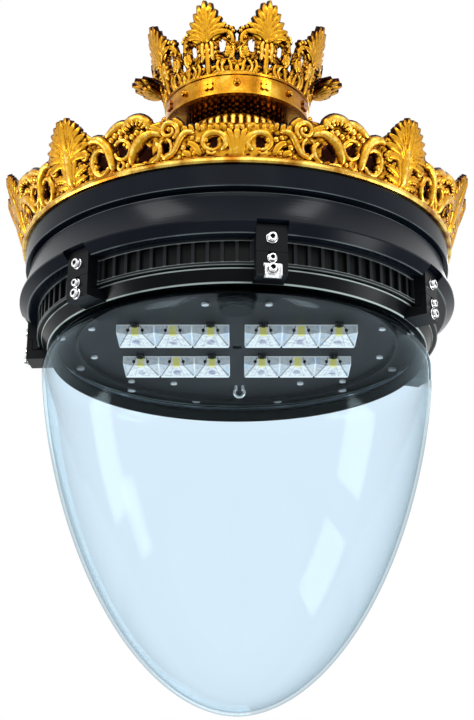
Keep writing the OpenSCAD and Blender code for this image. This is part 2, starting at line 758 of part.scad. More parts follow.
module gear_tray() {
    color("#1b1c1f") difference() {
        translate([0, 0, z_band]) cylinder(r = tray_r, h = tray_t);
        for (a = tray_screw_azs) at_az(a) translate([0, -tray_screw_r, z_band - 1])
            cylinder(d = screw_d + 0.6, h = 10, $fn = 24);
        for (p = plate_screw_at) translate([p[0], p[1], z_band - 1]) cylinder(d = 4, h = 10, $fn = 24);
        for (x = [-hook_w / 2, hook_w / 2]) translate([hook_x + x, hook_y, z_band - 1])
            cylinder(d = hook_d + 0.4, h = 10, $fn = 24);
        translate([0, -sensor_y, z_band - 1]) cylinder(d = 20.4, h = 10);
        translate([0, 0, z_band - 1]) cylinder(d = lead_hole_d + 4, h = 10);
        for (p = driver_feet_at) translate([p[0], p[1], z_band - 1]) cylinder(d = 4, h = 10, $fn = 24);
    }
}
lead_hole_d = 12;
sensor_inset = 40;
sensor_y = plate_r - sensor_inset;
hook_x = 3;
hook_inset = 52;
hook_y = plate_r - hook_inset;
hook_w = 8.6;
hook_d = 3.6;
hook_eye_r = 6.2;
hook_drop = 9;
// Azimuth of each pair of light-plate screws, and how far inside the plate's edge it lies
plate_screw_polar = [[14.4, 49.5], [10.8, 9], [131.5, 11.5], [147.5, 40.5], [69.5, 12], [100, 15]];
plate_screw_at = [for (p = plate_screw_polar) for (s = [-1, 1])
    let (r = plate_r - p[1]) [s * r * sin(p[0]), -r * cos(p[0])]];

module tray_screws() {
    color("#c9ccd2") for (a = tray_screw_azs) at_az(a)
        translate([0, -tray_screw_r, z_band]) rotate([180, 0, 0]) pan_screw(screw_d, tray_t + ledge_t);
}

module light_plate() {
    color("#17181b") difference() {
        union() {
            translate([0, 0, z_plate]) cylinder(r = plate_r, h = 2);
            flat_ring(plate_r - 3, plate_r, z_plate - 6, z_plate + 1);
        }
        for (p = plate_screw_at) translate([p[0], p[1], z_plate - 1]) cylinder(d = 4.6, h = 4, $fn = 24);
        for (x = [-hook_w / 2, hook_w / 2]) translate([hook_x + x, hook_y, z_plate - 1])
            cylinder(d = hook_d + 0.4, h = 4, $fn = 24);
        translate([0, -sensor_y, z_plate - 1]) cylinder(d = 20.4, h = 4);
        translate([0, 0, z_plate - 1]) cylinder(d = lead_hole_d, h = 4);
        for (p = lens_screw_at) translate([p[0], p[1], z_plate - 1]) cylinder(d = 3, h = 4, $fn = 24);
    }
}

module plate_screws() {
    color("#c9ccd2") for (p = plate_screw_at) translate([p[0], p[1], z_plate]) rotate([180, 0, 0])
        pan_screw(4, 4.5);
}

module_w = cells * cell;
module_d = cell;
module_x = module_gap / 2 + module_w / 2;
module_ats = [[-module_x, -row_pitch / 2], [module_x, -row_pitch / 2],
    [-module_x, row_pitch / 2], [module_x, row_pitch / 2]];
board_t = 1.6;
lens_screw_at = [for (m = module_ats) for (s = [-1, 1]) for (k = [-1, 1])
    [m[0] + k * cell * (cells - 1) / 2, m[1] + s * (module_d / 2 + 5)]];

module led_boards() {
    color("#e8e9ea") for (m = module_ats)
        translate([m[0] - module_w / 2 + 2, m[1] - module_d / 2 + 2, z_plate - board_t])
            cube([module_w - 4, module_d - 4, board_t]);
}

module led_chips() {
    color("#f2df6a") for (m = module_ats) for (k = [0 : cells - 1])
        translate([m[0] + (k - (cells - 1) / 2) * cell - 3.5, m[1] - 3.5, z_plate - board_t - 1])
            cube([7, 7, 1]);
}

// A block centred on a point of the light plate, between two depths below it
module plate_block(p, w, d, low, high) {
    translate([p[0] - w / 2, p[1] - d / 2, z_plate - low]) cube([w, d, low - high]);
}

// A moulded strip of lens cells over one board, with screw ears
module lens_module(m) {
    centres = [for (k = [0 : cells - 1]) [m[0] + (k - (cells - 1) / 2) * cell, m[1]]];
    ears = [for (s = [-1, 1]) for (k = [0, cells - 1]) [centres[k][0], m[1] + s * (module_d / 2 + 4)]];
    color([0.85, 0.9, 0.92, 0.45]) difference() {
        union() {
            plate_block(m, module_w, module_d, lens_base, 0);
            for (c = centres) plate_block(c, cell * 0.84, module_d * 0.84, lens_h, 2);
            for (e = ears) plate_block(e, 10, 10, lens_base, 0);
        }
        for (c = centres) plate_block(c, cell * 0.6, module_d * 0.6, lens_h - 3, -3);
        plate_block(m, module_w - 3, module_d - 3, board_t + 0.1, -0.9);
        for (p = lens_screw_at) translate([p[0], p[1], z_plate - 4]) cylinder(d = 3.4, h = 6, $fn = 24);
    }
}
lens_base = 3;

module lens_screws() {
    color("#c9ccd2") for (p = lens_screw_at) translate([p[0], p[1], z_plate - 3]) rotate([180, 0, 0])
        pan_screw(3, 4.8);
}

module sensor_head() {
    color("#101113") {
        translate([0, -sensor_y, z_plate - 6]) cylinder(d = sensor_d, h = 6);
        translate([0, -sensor_y, z_plate - 15]) cylinder(d1 = sensor_d - 8, d2 = sensor_d - 3, h = 9.1);
        translate([0, -sensor_y, z_plate - 0.1]) cylinder(d = 20, h = 14.1);
    }
}

module sensor_nut() {
    color("#1c1d20") translate([0, -sensor_y, z_band + tray_t]) difference() {
        cylinder(d = 30, h = 5, $fn = 6);
        translate([0, 0, -1]) cylinder(d = 20 + 2 * thread_fit, h = 8);
    }
}

// A rod bent to an open eye below two threaded legs
module safety_hook() {
    knee = sqrt(hook_eye_r * hook_eye_r - hook_w * hook_w / 4) - hook_d / 2;
    color("#d8dade") translate([hook_x, hook_y, z_plate - hook_drop]) {
        rotate([90, 0, 0]) difference() {
            rotate_extrude() translate([hook_eye_r, 0]) circle(d = hook_d, $fn = 24);
            translate([-hook_w / 2, 0, -5]) cube([hook_w, 2 * hook_eye_r, 10]);
        }
        for (x = [-hook_w / 2, hook_w / 2]) translate([x, 0, knee])
            cylinder(d = hook_d, h = hook_drop - knee + 2 + tray_t + 9, $fn = 24);
    }
}

module hook_nuts() {
    color("#c9ccd2") for (x = [-hook_w / 2, hook_w / 2])
        translate([hook_x + x, hook_y, z_band + tray_t]) difference() {
            cylinder(d = 8, h = 3.2, $fn = 6);
            translate([0, 0, -1]) cylinder(d = hook_d + 2 * thread_fit, h = 6, $fn = 24);
        }
}

// GEAR INSIDE THE HOUSING

driver_l = 170;
driver_w = 62;
driver_h = 38;
driver_at = [0, 10];
foot_rise = 10;
driver_feet_at = [for (x = [-1, 1]) for (y = [-1, 1])
    [driver_at[0] + x * (driver_l / 2 + 8), driver_at[1] + y * driver_w / 4]];
z_gear = z_band + tray_t;
surge_at = [-110, 70];
terminal_at = [10, 80];
earth_at = [100, 85];

module driver_feet() {
    color("#8f9297") for (s = [-1, 1]) difference() {
        union() {
            translate([driver_at[0] + s * (driver_l / 2 + 8) - 8, driver_at[1] - driver_w / 2, z_gear])
                cube([16, driver_w, 3]);
            translate([driver_at[0] + s * (driver_l / 2) - 1.5, driver_at[1] - driver_w / 2, z_gear])
                cube([3, driver_w, foot_rise]);
            translate([driver_at[0] + s * (driver_l / 2 - 7) - 7, driver_at[1] - driver_w / 2,
                z_gear + foot_rise - 3]) cube([14, driver_w, 3]);
        }
        for (p = driver_feet_at) translate([p[0], p[1], z_gear - 1]) cylinder(d = 4.6, h = 6, $fn = 24);
    }
}

module driver() {
    color("#d5d7da") translate([driver_at[0], driver_at[1], z_gear + foot_rise]) {
        translate([-driver_l / 2 + 12, -driver_w / 2, 0]) cube([driver_l - 24, driver_w, driver_h]);
        translate([-driver_l / 2, -driver_w / 2, 0]) cube([driver_l, driver_w, 4]);
        for (s = [-1, 1]) translate([s * (driver_l / 2 - 12), 0, driver_h / 2]) rotate([0, 90, 0])
            translate([0, 0, -5]) cylinder(d = 16, h = 10);
    }
}

module driver_screws() {
    color("#c9ccd2") for (p = driver_feet_at) translate([p[0], p[1], z_gear + 3]) pan_screw(4, 5.5);
}

module surge_protector() {
    color("#2b4f8a") translate([surge_at[0], surge_at[1], z_gear]) difference() {
        cube([56, 34, 24]);
        for (x = [6, 50]) translate([x, 17, 12]) cylinder(d = 5, h = 14, $fn = 24);
    }
}

module terminal_block() {
    color("#e6e2d6") translate([terminal_at[0], terminal_at[1], z_gear]) difference() {
        cube([60, 22, 20]);
        for (k = [0 : 4]) translate([6 + 12 * k, 11, 12]) cylinder(d = 6, h = 10, $fn = 24);
    }
}

module earth_stud() {
    color("#c9a227") translate([earth_at[0], earth_at[1], z_gear]) {
        cylinder(d = 5, h = 16, $fn = 24);
        cylinder(d = 12 / cos(30), h = 4, $fn = 6);
        translate([0, 0, 8]) cylinder(d = 12 / cos(30), h = 4, $fn = 6);
    }
}

pipe_socket();
set_screws();
flange_bolts();
cable_gland();
small_crown_band();
small_crown_leaves();
small_crown_jewels();
neck_collar();
roof();
roof_seal();
roof_screws();
crown_foot();
crown_gallery();
crown_screws();
skirt();
skirt_screws();
finned_band();
clamp_lugs();
lug_bolts();
clamp_screws();
hinge_fixed_leaf();
hinge_bolts();
hinge_pin();
globe_ring();
globe_seat_seal();
frame_seal();
globe_snap_ring();
globe();
ring_straps();
strap_bolts();
lock_tab();
hinge_moving_leaf();
gear_tray();
tray_screws();
light_plate();
plate_screws();
led_boards();
led_chips();
lens_module(module_ats[0]);  // lens_front_left
lens_module(module_ats[1]);  // lens_front_right
lens_module(module_ats[2]);  // lens_rear_left
lens_module(module_ats[3]);  // lens_rear_right
lens_screws();
sensor_head();
sensor_nut();
safety_hook();
hook_nuts();
driver();
driver_feet();
driver_screws();
surge_protector();
terminal_block();
earth_stud();
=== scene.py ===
import math

import bmesh
import bpy
import numpy as np
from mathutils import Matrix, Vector


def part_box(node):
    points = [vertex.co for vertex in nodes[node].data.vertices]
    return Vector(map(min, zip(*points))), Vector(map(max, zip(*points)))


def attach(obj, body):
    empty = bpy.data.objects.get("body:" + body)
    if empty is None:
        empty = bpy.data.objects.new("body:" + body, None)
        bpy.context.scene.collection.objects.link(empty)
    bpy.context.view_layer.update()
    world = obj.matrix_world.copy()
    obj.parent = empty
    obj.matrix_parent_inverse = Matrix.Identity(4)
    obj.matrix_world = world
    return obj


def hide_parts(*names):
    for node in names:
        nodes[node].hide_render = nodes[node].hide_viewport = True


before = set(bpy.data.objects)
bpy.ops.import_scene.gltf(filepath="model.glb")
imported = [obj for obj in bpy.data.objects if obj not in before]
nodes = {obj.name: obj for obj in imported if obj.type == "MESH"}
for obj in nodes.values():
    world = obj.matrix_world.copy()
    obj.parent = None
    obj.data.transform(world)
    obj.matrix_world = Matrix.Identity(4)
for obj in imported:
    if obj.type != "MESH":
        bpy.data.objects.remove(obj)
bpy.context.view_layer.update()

# The view. The camera stands below and in front of the hanging lantern and looks up at it,
# at the distance and pitch that the ring and the bowl's outline give in the photograph.
scene = bpy.context.scene
scene.view_settings.view_transform = "Standard"
camera_back, camera_z, camera_pitch, camera_lens = 1.5723, -0.985, 20.33, 70.78
camera = bpy.data.objects.new("camera", bpy.data.cameras.new("camera"))
camera.data.lens = camera_lens
camera.data.sensor_width = 36
camera.data.clip_start, camera.data.clip_end = 0.05, 50
camera.location = (0, -camera_back, camera_z)
camera.rotation_euler = (math.radians(90 + camera_pitch), 0, 0)
scene.collection.objects.link(camera)
scene.camera = camera


# The room. A pale floor lies far below the lantern, and the surround is white to the camera and
# to gloss. Soft windows stand round it, whose streaks show on the skirt and the bowl. Its floor
# has the first finish, so how a finish is written comes here.
class Value:
    """A socket of a material's nodes, with Python's operators for its maths."""

    def __init__(self, finish, socket):
        self.finish, self.socket = finish, socket

    def maths(self, operation, *operands):
        return self.finish.node("ShaderNodeMath", {"operation": operation}, dict(enumerate(operands)))

    def __add__(self, other):
        return self.maths("ADD", self, other)

    def __mul__(self, other):
        return self.maths("MULTIPLY", self, other)

    def __sub__(self, other):
        return self.maths("SUBTRACT", self, other)

    def __rsub__(self, other):
        return self.maths("SUBTRACT", other, self)

    def __truediv__(self, other):
        return self.maths("DIVIDE", self, other)

    def __pow__(self, other):
        return self.maths("POWER", self, other)

    __radd__, __rmul__ = __add__, __mul__

    def size(self):
        return self.maths("ABSOLUTE", self)

    def within(self, low, high):
        """0 at low, 1 at high, held at both ends."""
        span = {"From Min": low, "From Max": high, "Value": self}
        return self.finish.node("ShaderNodeMapRange", {"interpolation_type": "SMOOTHSTEP"}, span)


class Finish:
    """A procedural material, with a pattern that stays still on the piece."""

    def __init__(self, name):
        self.material = bpy.data.materials.new(name)
        self.material.use_nodes = True
        self.tree = self.material.node_tree
        self.tree.nodes.clear()
        self.place = self.node("ShaderNodeTexCoord", output="Object")

    def node(self, kind, settings=None, sockets=None, output=0):
        given = {key: value.socket if isinstance(value, Value) else value
                 for key, value in (sockets or {}).items()}
        return Value(self, add_node(self.tree, kind, settings, given, output))

    def noise(self, per_metre, detail):
        return self.node("ShaderNodeTexNoise", None,
                         {"Vector": self.place, "Scale": per_metre, "Detail": detail})

    def mix(self, mask, low, high):
        """A colour between low, where mask is 0, and high, where it is 1."""
        return self.node("ShaderNodeMix", {"data_type": "RGBA"}, {0: mask, 6: low, 7: high}, output=2)

    def part(self, axis):
        """One of the place's coordinates, in metres."""
        return self.node("ShaderNodeSeparateXYZ", None, {0: self.place}, output=axis)

    def carved(self):
        """The relief that a mesh was made with: 0 in its hollows and 1 on its crests."""
        return self.node("ShaderNodeAttribute", {"attribute_name": "relief"}, output="Fac")

    def bump(self, height, strength, depth):
        return self.node("ShaderNodeBump", None,
                         {"Height": height, "Strength": strength, "Distance": depth})

    def shader(self, sockets):
        return self.node("ShaderNodeBsdfPrincipled", None, sockets)

    def done(self, shader):
        add_node(self.tree, "ShaderNodeOutputMaterial", None, {0: shader.socket})
        return self.material


def add_node(tree, kind, settings=None, sockets=None, output=0):
    """Adds a node with its settings and its sockets' values or links, and gives one of its outputs."""
    made = tree.nodes.new(kind)
    for name, value in (settings or {}).items():
        setattr(made, name, value)
    for key, value in (sockets or {}).items():
        socket = made.inputs[key]
        if isinstance(value, bpy.types.NodeSocket):
            tree.links.new(value, socket)
        elif socket.type == "RGBA":
            socket.default_value = (*value, 1)
        else:
            socket.default_value = value
    return made.outputs[output] if made.outputs else None


floor_z, floor_half = -2.6, 5.0
floor_mesh = bpy.data.meshes.new("floor")
corners = [(x * floor_half, y * floor_half, floor_z) for x, y in [(-1, -1), (1, -1), (1, 1), (-1, 1)]]
floor_mesh.from_pydata(corners, [], [(0, 1, 2, 3)])
floor = bpy.data.objects.new("floor", floor_mesh)
scene.collection.objects.link(floor)
pale = Finish("pale_floor")
floor_mesh.materials.append(pale.done(pale.shader({
    "Base Color": pale.mix(pale.noise(3, 2), (0.8, 0.8, 0.8), (0.84, 0.84, 0.84)),
    "Roughness": 0.85,
})))

ambient = 0.5
world = bpy.data.worlds.new("white_room")
world.use_nodes = True
scene.world = world
wires = world.node_tree
wires.nodes.clear()
rays = wires.nodes.new("ShaderNodeLightPath")
seen = rays.outputs["Is Camera Ray"]
for ray in ("Is Glossy Ray", "Is Transmission Ray"):
    seen = add_node(wires, "ShaderNodeMath", {"operation": "MAXIMUM"}, {0: seen, 1: rays.outputs[ray]})
strength = add_node(wires, "ShaderNodeMapRange", None, {"Value": seen, "To Min": ambient})
surround = add_node(wires, "ShaderNodeBackground", None, {"Color": (1, 1, 1), "Strength": strength})
add_node(wires, "ShaderNodeOutputWorld", None, {0: surround})

lantern_middle = Vector((0, 0, -0.4))


def window(name, azimuth, height, distance, width, tall, radiance):
    """A soft window that faces the lantern's middle. Its azimuth, where 0 is the front, and its height
    are in degrees, and its distance and size in metres."""
    lamp = bpy.data.lights.new(name, "AREA")
    lamp.shape = "RECTANGLE"
    lamp.size, lamp.size_y = width, tall
    lamp.energy = math.pi * width * tall * radiance
    panel = bpy.data.objects.new(name, lamp)
    around, above = math.radians(azimuth), math.radians(height)
    level = math.cos(above)
    outward = Vector((math.sin(around) * level, -math.cos(around) * level, math.sin(above)))
    panel.location = lantern_middle + distance * outward
    panel.rotation_euler = (lantern_middle - panel.location).to_track_quat("-Z", "Y").to_euler()
    scene.collection.objects.link(panel)


window("left_window", -47, 47, 2.8, 0.8, 1.3, 6)
window("right_window", 44, 47, 2.8, 0.5, 1.3, 7)
window("front_window", 0, 31, 2.6, 1.7, 0.6, 2.2)
window("low_left_window", -82, -11, 1.7, 0.45, 0.7, 8)
window("low_left_patch", -72, -26, 1.7, 0.3, 0.5, 8)
window("low_right_window", 74, -11, 1.7, 0.6, 0.5, 8)
window("low_right_patch", 74, -38, 1.7, 0.6, 0.6, 8)
window("back_window", 170, 30, 2.8, 1.2, 1.2, 3)


def dress(material, *names):
    """Gives the named construction pieces a finish."""
    for name in names:
        for slot in nodes[name].material_slots:
            slot.material = material


def powder_coat(name, colour, roughness, gloss=0.2, peel=0.2, highlight_edges=(),
                edge_highlight=(0.2, 0.23, 0.23), fin_shade_radii=None):
    """Sprayed and baked powder coat: even, with a fine orange peel, a slight cloudiness and some dust.
    An edge is a height and the least radius, in metres, along which a thin pale line is painted as a
    highlight. Fins are the two radii between which the coat goes from painted shade in the hollows to its
    own colour."""
    coat = Finish(name)
    cloud = coat.noise(14, 3)
    dust = (coat.noise(2600, 1) - 0.62).within(0, 0.1) * 0.2
    paler = tuple(min(1, c * 1.5 + 0.002) for c in colour)
    tone = coat.mix(cloud.within(0.3, 0.75) * 0.6 + dust, colour, paler)
    radius = (coat.part(0) * coat.part(0) + coat.part(1) * coat.part(1)) ** 0.5
    # Painted shade: inside the fins' outer radius the coat darkens to near black, as shade in the hollows
    # between them.
    if fin_shade_radii:
        tone = coat.mix(radius.within(*fin_shade_radii), (0.0025, 0.003, 0.0035), tone)
    # Painted highlights: thin pale lines along the given edges, where a rounded edge would catch the light.
    if highlight_edges:
        line_core, line_end = 0.0003, 0.0009
        edge_highlight_mask = sum((1 - (coat.part(2) - height).size().within(line_core, line_end))
                   * radius.within(least, least + 0.0008) for height, least in highlight_edges)
        tone = coat.mix(edge_highlight_mask * (0.4 + 0.6 * cloud.within(0.35, 0.55)), tone, edge_highlight)
    return coat.done(coat.shader({
        "Base Color": tone,
        "Roughness": roughness + 0.1 * (cloud - 0.5),
        "Specular IOR Level": gloss,
        "Normal": coat.bump(coat.noise(650, 2), peel, 0.0003),
    }))


housing_coat = powder_coat("black_powder_coat", (0.003, 0.0037, 0.005), 0.34, 0.12)
dress(housing_coat, "pipe_socket")


# Set screws, flange bolts and cable gland. Stainless hexagon heads grip the pipe and hold the
# socket on the roof, and the gland beside them is moulded black nylon on its own nut.
def bright_steel(name, roughness=0.2, colour=(0.72, 0.73, 0.75), metal=1.0):
    """Stainless steel as it comes off the machine, with faint turning marks and handling scuffs."""
    steel = Finish(name)
    scuff = steel.noise(420, 4)
    return steel.done(steel.shader({
        "Base Color": steel.mix(scuff.within(0.35, 0.7), tuple(c * 0.78 for c in colour), colour),
        "Metallic": metal,
        "Roughness": roughness + 0.18 * (scuff - 0.5),
        "Normal": steel.bump(steel.noise(1800, 2), 0.1, 0.0001),
    }))


steel = bright_steel("stainless_steel")
dress(steel, "set_screws", "flange_bolts")
nylon = powder_coat("black_nylon", (0.002, 0.0022, 0.0026), 0.4, 0.07)
dress(nylon, "cable_gland")

# Small crown, the band: a turned and gilded ring, polished on its plain face, with a thin bead
# at each edge and cast jewels pinned on it. Gilding is brass-coloured leaf under lacquer.
# The carved gold's umber is painted shade for the hollows, and its palest gold is painted highlight for the
# crests.
shade_umber, deep_gold = (0.02, 0.005, 0.003), (0.34, 0.12, 0.007)
gold, pale_gold = (0.72, 0.35, 0.02), (1.0, 0.74, 0.17)


def gilding(name, roughness, relief=None, pale=0.6):
    """Gold leaf under lacquer. Relief is a function of the finish that is 0 in the hollows, which are
    painted dark as shade, and 1 on the crests, which are painted palest gold as highlights. Without it,
    pale is how much of the face has the palest gold."""
    leaf = Finish(name)
    cloud = leaf.noise(38, 3)
    grain = leaf.noise(420, 3)
    # Painted shade and highlight: the hollows go to dark umber as shade and the crests to the palest gold as
    # highlights.
    if relief:
        chased = leaf.noise(190, 1)
        crest = relief(leaf) + 0.6 * (grain - 0.5) + 0.7 * (chased - 0.5) + 0.2 * (cloud - 0.5)
        colour = leaf.mix(crest.within(0.06, 0.34), shade_umber, deep_gold)
        colour = leaf.mix(crest.within(0.3, 0.66), colour, gold)
        colour = leaf.mix(crest.within(0.78, 1.15), colour, pale_gold)
    else:
        colour = leaf.mix(cloud.within(0.3, 0.75), deep_gold, gold)
        colour = leaf.mix(cloud.within(0.8 - 0.5 * pale, 1.2 - 0.5 * pale) * pale, colour, pale_gold)
    return leaf.done(leaf.shader({
        "Base Color": colour,
        "Metallic": 1.0,
        "Roughness": roughness + 0.16 * (cloud - 0.5),
        "Normal": leaf.bump(grain, 0.3, 0.0004),
    }))


dress(gilding("polished_gilt", 0.24), "small_crown_band")
dress(gilding("jewel_gilt", 0.16), "small_crown_jewels")

# Small crown, the leaves: eight palmettes on volutes, with pairs of florets between them, cast
# in one pierced ring, chased and gilded. Each motif is carved flat here, bent onto the cone and
# repeated round it.
mm = 0.001


class Carving:
    """Relief in millimetres across, up and out, made of closed rounded strokes."""

    def __init__(self, bulk=1.3):
        self.points, self.faces, self.relief, self.bulk = [], [], [], bulk

    def add(self, place, out, relief):
        self.points.append((place[0], place[1], out))
        self.relief.append(relief)

    def stroke(self, path, widths, height, base=0.0, groove=0.0, tip=0.0, back=3.0, flange=1.6):
        """A rounded band along a path, on a low flange that joins it to its neighbours and is painted dark
        as shade. Groove cuts its crest, and tip lifts its far end."""
        way = smooth(path, max(6, 3 * len(path) - 3))
        count, sides, flange_drop, groove_spread = len(way), 11, 0.6, 0.42
        step = np.gradient(way, axis=0)
        step /= np.hypot(*step.T)[:, None]
        length = np.hypot(*np.diff(way, axis=0).T).sum()
        share = np.linspace(0, 1, count)
        width = self.bulk * np.interp(share, np.linspace(0, 1, len(widths)), widths)
        cap = min(0.45, 0.5 * width.max() / length)
        ends = np.minimum(1, np.minimum(share, 1 - share) / cap)
        rounded = np.sqrt(1 - (1 - ends) ** 2 * 0.9)
        first = len(self.points)
        for k in range(count):
            half = width[k] * rounded[k] / 2
            rise = height * (0.3 + 0.7 * width[k] / width.max()) * rounded[k]
            lift = base + tip * share[k] ** 2
            across = np.array((step[k][1], -step[k][0]))
            self.add(way[k] + (half + flange) * across, base - flange_drop, 0)
            for angle in np.linspace(0, math.pi, sides - 4):
                dip = 1 - groove * math.exp(-((angle - math.pi / 2) / groove_spread) ** 2)
                self.add(way[k] + half * math.cos(angle) * across,
                         lift + rise * math.sin(angle) * dip, math.sin(angle) ** 1.5 * dip)
            self.add(way[k] - (half + flange) * across, base - flange_drop, 0)
            for side in (-1, 1):
                self.add(way[k] + side * (half + flange) * across, base - back, 0)
        for k in range(count - 1):
            for j in range(sides):
                a, b = first + k * sides + j, first + k * sides + (j + 1) % sides
                self.faces.append((a, b, b + sides, a + sides))
        last = first + (count - 1) * sides
        self.faces.append(tuple(range(first + sides - 1, first - 1, -1)))
        self.faces.append(tuple(range(last, last + sides)))

    def bead(self, x, y, r, height=None, base=0.0):
        reach = r * self.bulk
        self.stroke([(x, y - reach), (x, y), (x, y + reach)], [1.7 * r, 2 * r, 1.7 * r], height or r, base)

    def spiral(self, x, y, r_in, r_out, start, turn, widths, height, base=0.0, squeeze=1.0):
        """A scroll that winds in from its outer end, start degrees round, through turn degrees."""
        count = max(5, int(abs(turn) / 40))
        way = []
        for k in range(count + 1):
            a = math.radians(start + turn * k / count)
            r = r_out + (r_in - r_out) * k / count
            way.append((x + r * math.cos(a), y + squeeze * r * math.sin(a)))
        self.stroke(way, widths, height, base)

    def leaf(self, path, lobes, reach, width, height, base=0.0, opening=50):
        """A midrib with paired lobes that fan out from it and shorten towards its tip."""
        way = smooth(path, 24)
        for k in range(lobes):
            share = 0.08 + 0.8 * k / lobes
            near = int(share * 23)
            at, ahead = way[near], way[near + 1] - way[near]
            heading = math.atan2(ahead[1], ahead[0])
            size = reach * (1 - 0.55 * share)
            for side in (-1, 1):
                swing = heading + side * math.radians(opening * (1 - 0.45 * share))
                bend = heading + side * math.radians(opening * 0.45)
                mid = at + 0.55 * size * np.array((math.cos(swing), math.sin(swing)))
                end = mid + 0.5 * size * np.array((math.cos(bend), math.sin(bend)))
                lobe_widths = [width * 0.6, width, width * 0.4]
                self.stroke([at, mid, end], lobe_widths, height * 0.8, base, 0.35, 1.0)
        self.stroke(path, [width * 1.1, width * 1.2, width * 0.5], height, base, 0.3, 1.5)

    def web(self, ridge, eyes=(), back=-4.0, front=-0.5, pitch=3.8, tone=0.36, pierced=False):
        """The plate behind the strokes, modelled in small bosses. Ridge is its top edge from the left end
        to the right. Each eye is a hollow, or a hole if pierced: its centre and its reach across and up.
        A hollow eye is painted darkest, as shade."""
        chance = np.random.default_rng(len(ridge))
        left, right = ridge[0][0], ridge[-1][0]
        columns = round((right - left) / pitch)
        rows = round(max(y for _, y in ridge) / pitch)
        xs = np.linspace(left, right, columns + 1)
        tops = np.interp(xs, *zip(*ridge))
        first = len(self.points)

        def in_eye(x, y):
            return any(((x - cx) / rx) ** 2 + ((y - cy) / ry) ** 2 <= 1 for cx, cy, rx, ry in eyes)

        for x, top in zip(xs, tops):
            for j in range(rows + 1):
                boss = chance.random()
                y = -1 + (top + 1) * j / rows
                self.add((x, y), back, 0.5)
                # A hollow eye's relief is below 0: painted shade, darker than any other part.
                if in_eye(x, y) and not pierced:
                    self.add((x, y), back + 1, -0.6)
                else:
                    self.add((x, y), front + 1.6 * boss, tone + 0.9 * (boss - 0.5))

        def solid_at(i, j):
            if not (0 <= i < columns and 0 <= j < rows):
                return False
            x = (xs[i] + xs[i + 1]) / 2
            y = -1 + ((tops[i] + tops[i + 1]) / 2 + 1) * (j + 0.5) / rows
            return not (pierced and in_eye(x, y))

        def corner(i, j, front_side):
            return first + 2 * (i * (rows + 1) + j) + front_side

        for i in range(columns):
            for j in range(rows):
                if not solid_at(i, j):
                    continue
                around = [(i, j), (i + 1, j), (i + 1, j + 1), (i, j + 1)]
                for front_side in (0, 1):
                    self.faces.append(tuple(corner(a, b, front_side) for a, b in around))
                beyond = [(i, j - 1), (i + 1, j), (i, j + 1), (i - 1, j)]
                for k in range(4):
                    if not solid_at(*beyond[k]):
                        a, b = around[k], around[(k + 1) % 4]
                        self.faces.append((corner(*a, 0), corner(*b, 0), corner(*b, 1), corner(*a, 1)))

    def mirrored(self, axis=0.0):
        """Adds the mirror image of everything so far, about a vertical line."""
        first = len(self.points)
        self.points += [(2 * axis - x, y, out) for x, y, out in self.points]
        self.relief += self.relief
        self.faces += [tuple(first + k for k in reversed(face)) for face in self.faces]

    def cast(self, name, girth, radius, foot, lean):
        """The mesh, bent onto a cone. Girth is the radius at which a millimetre across is one round it.
        A lean that changes from the middle outwards is given as two distances and two leans."""
        distances, leans = lean if isinstance(lean, tuple) else ((0,), (lean,))
        bent = []
        for x, y, out in self.points:
            tilt = math.radians(np.interp(abs(x), distances, leans))
            r = radius + y * math.sin(tilt) + out * math.cos(tilt)
            z = foot + y * math.cos(tilt) - out * math.sin(tilt)
            bent.append((r * math.sin(x / girth) * mm, -r * math.cos(x / girth) * mm, z * mm))
        return solid(name, bent, self.faces, self.relief)


def smooth(path, count):
    """Points evenly spread along a smooth curve through the path's points."""
    way = np.array([path[0], *path, path[-1]], float)
    dense = []
    for k in range(len(path) - 1):
        p0, p1, p2, p3 = way[k:k + 4]
        for t in np.linspace(0, 1, 10, endpoint=False):
            dense.append(0.5 * (2 * p1 + (p2 - p0) * t + (2 * p0 - 5 * p1 + 4 * p2 - p3) * t * t
                                + (3 * p1 - p0 - 3 * p2 + p3) * t ** 3))
    dense = np.array(dense + [way[-1]])
    run = np.concatenate([[0], np.cumsum(np.hypot(*np.diff(dense, axis=0).T))])
    at = np.linspace(0, run[-1], count)
    return np.stack([np.interp(at, run, dense[:, 0]), np.interp(at, run, dense[:, 1])], axis=1)


def solid(name, points, faces, relief=None):
    """A closed mesh in metres, its faces outward and its relief, if any, kept as an attribute."""
    mesh = bpy.data.meshes.new(name)
    mesh.from_pydata(points, [], faces)
    if relief:
        mesh.attributes.new("relief", "FLOAT", "POINT").data.foreach_set("value", relief)
    tidy = bmesh.new()
    tidy.from_mesh(mesh)
    bmesh.ops.delete(tidy, geom=[v for v in tidy.verts if not v.link_faces], context="VERTS")
    bmesh.ops.recalc_face_normals(tidy, faces=tidy.faces)
    tidy.to_mesh(mesh)
    tidy.free()
    mesh.shade_smooth()
    return mesh


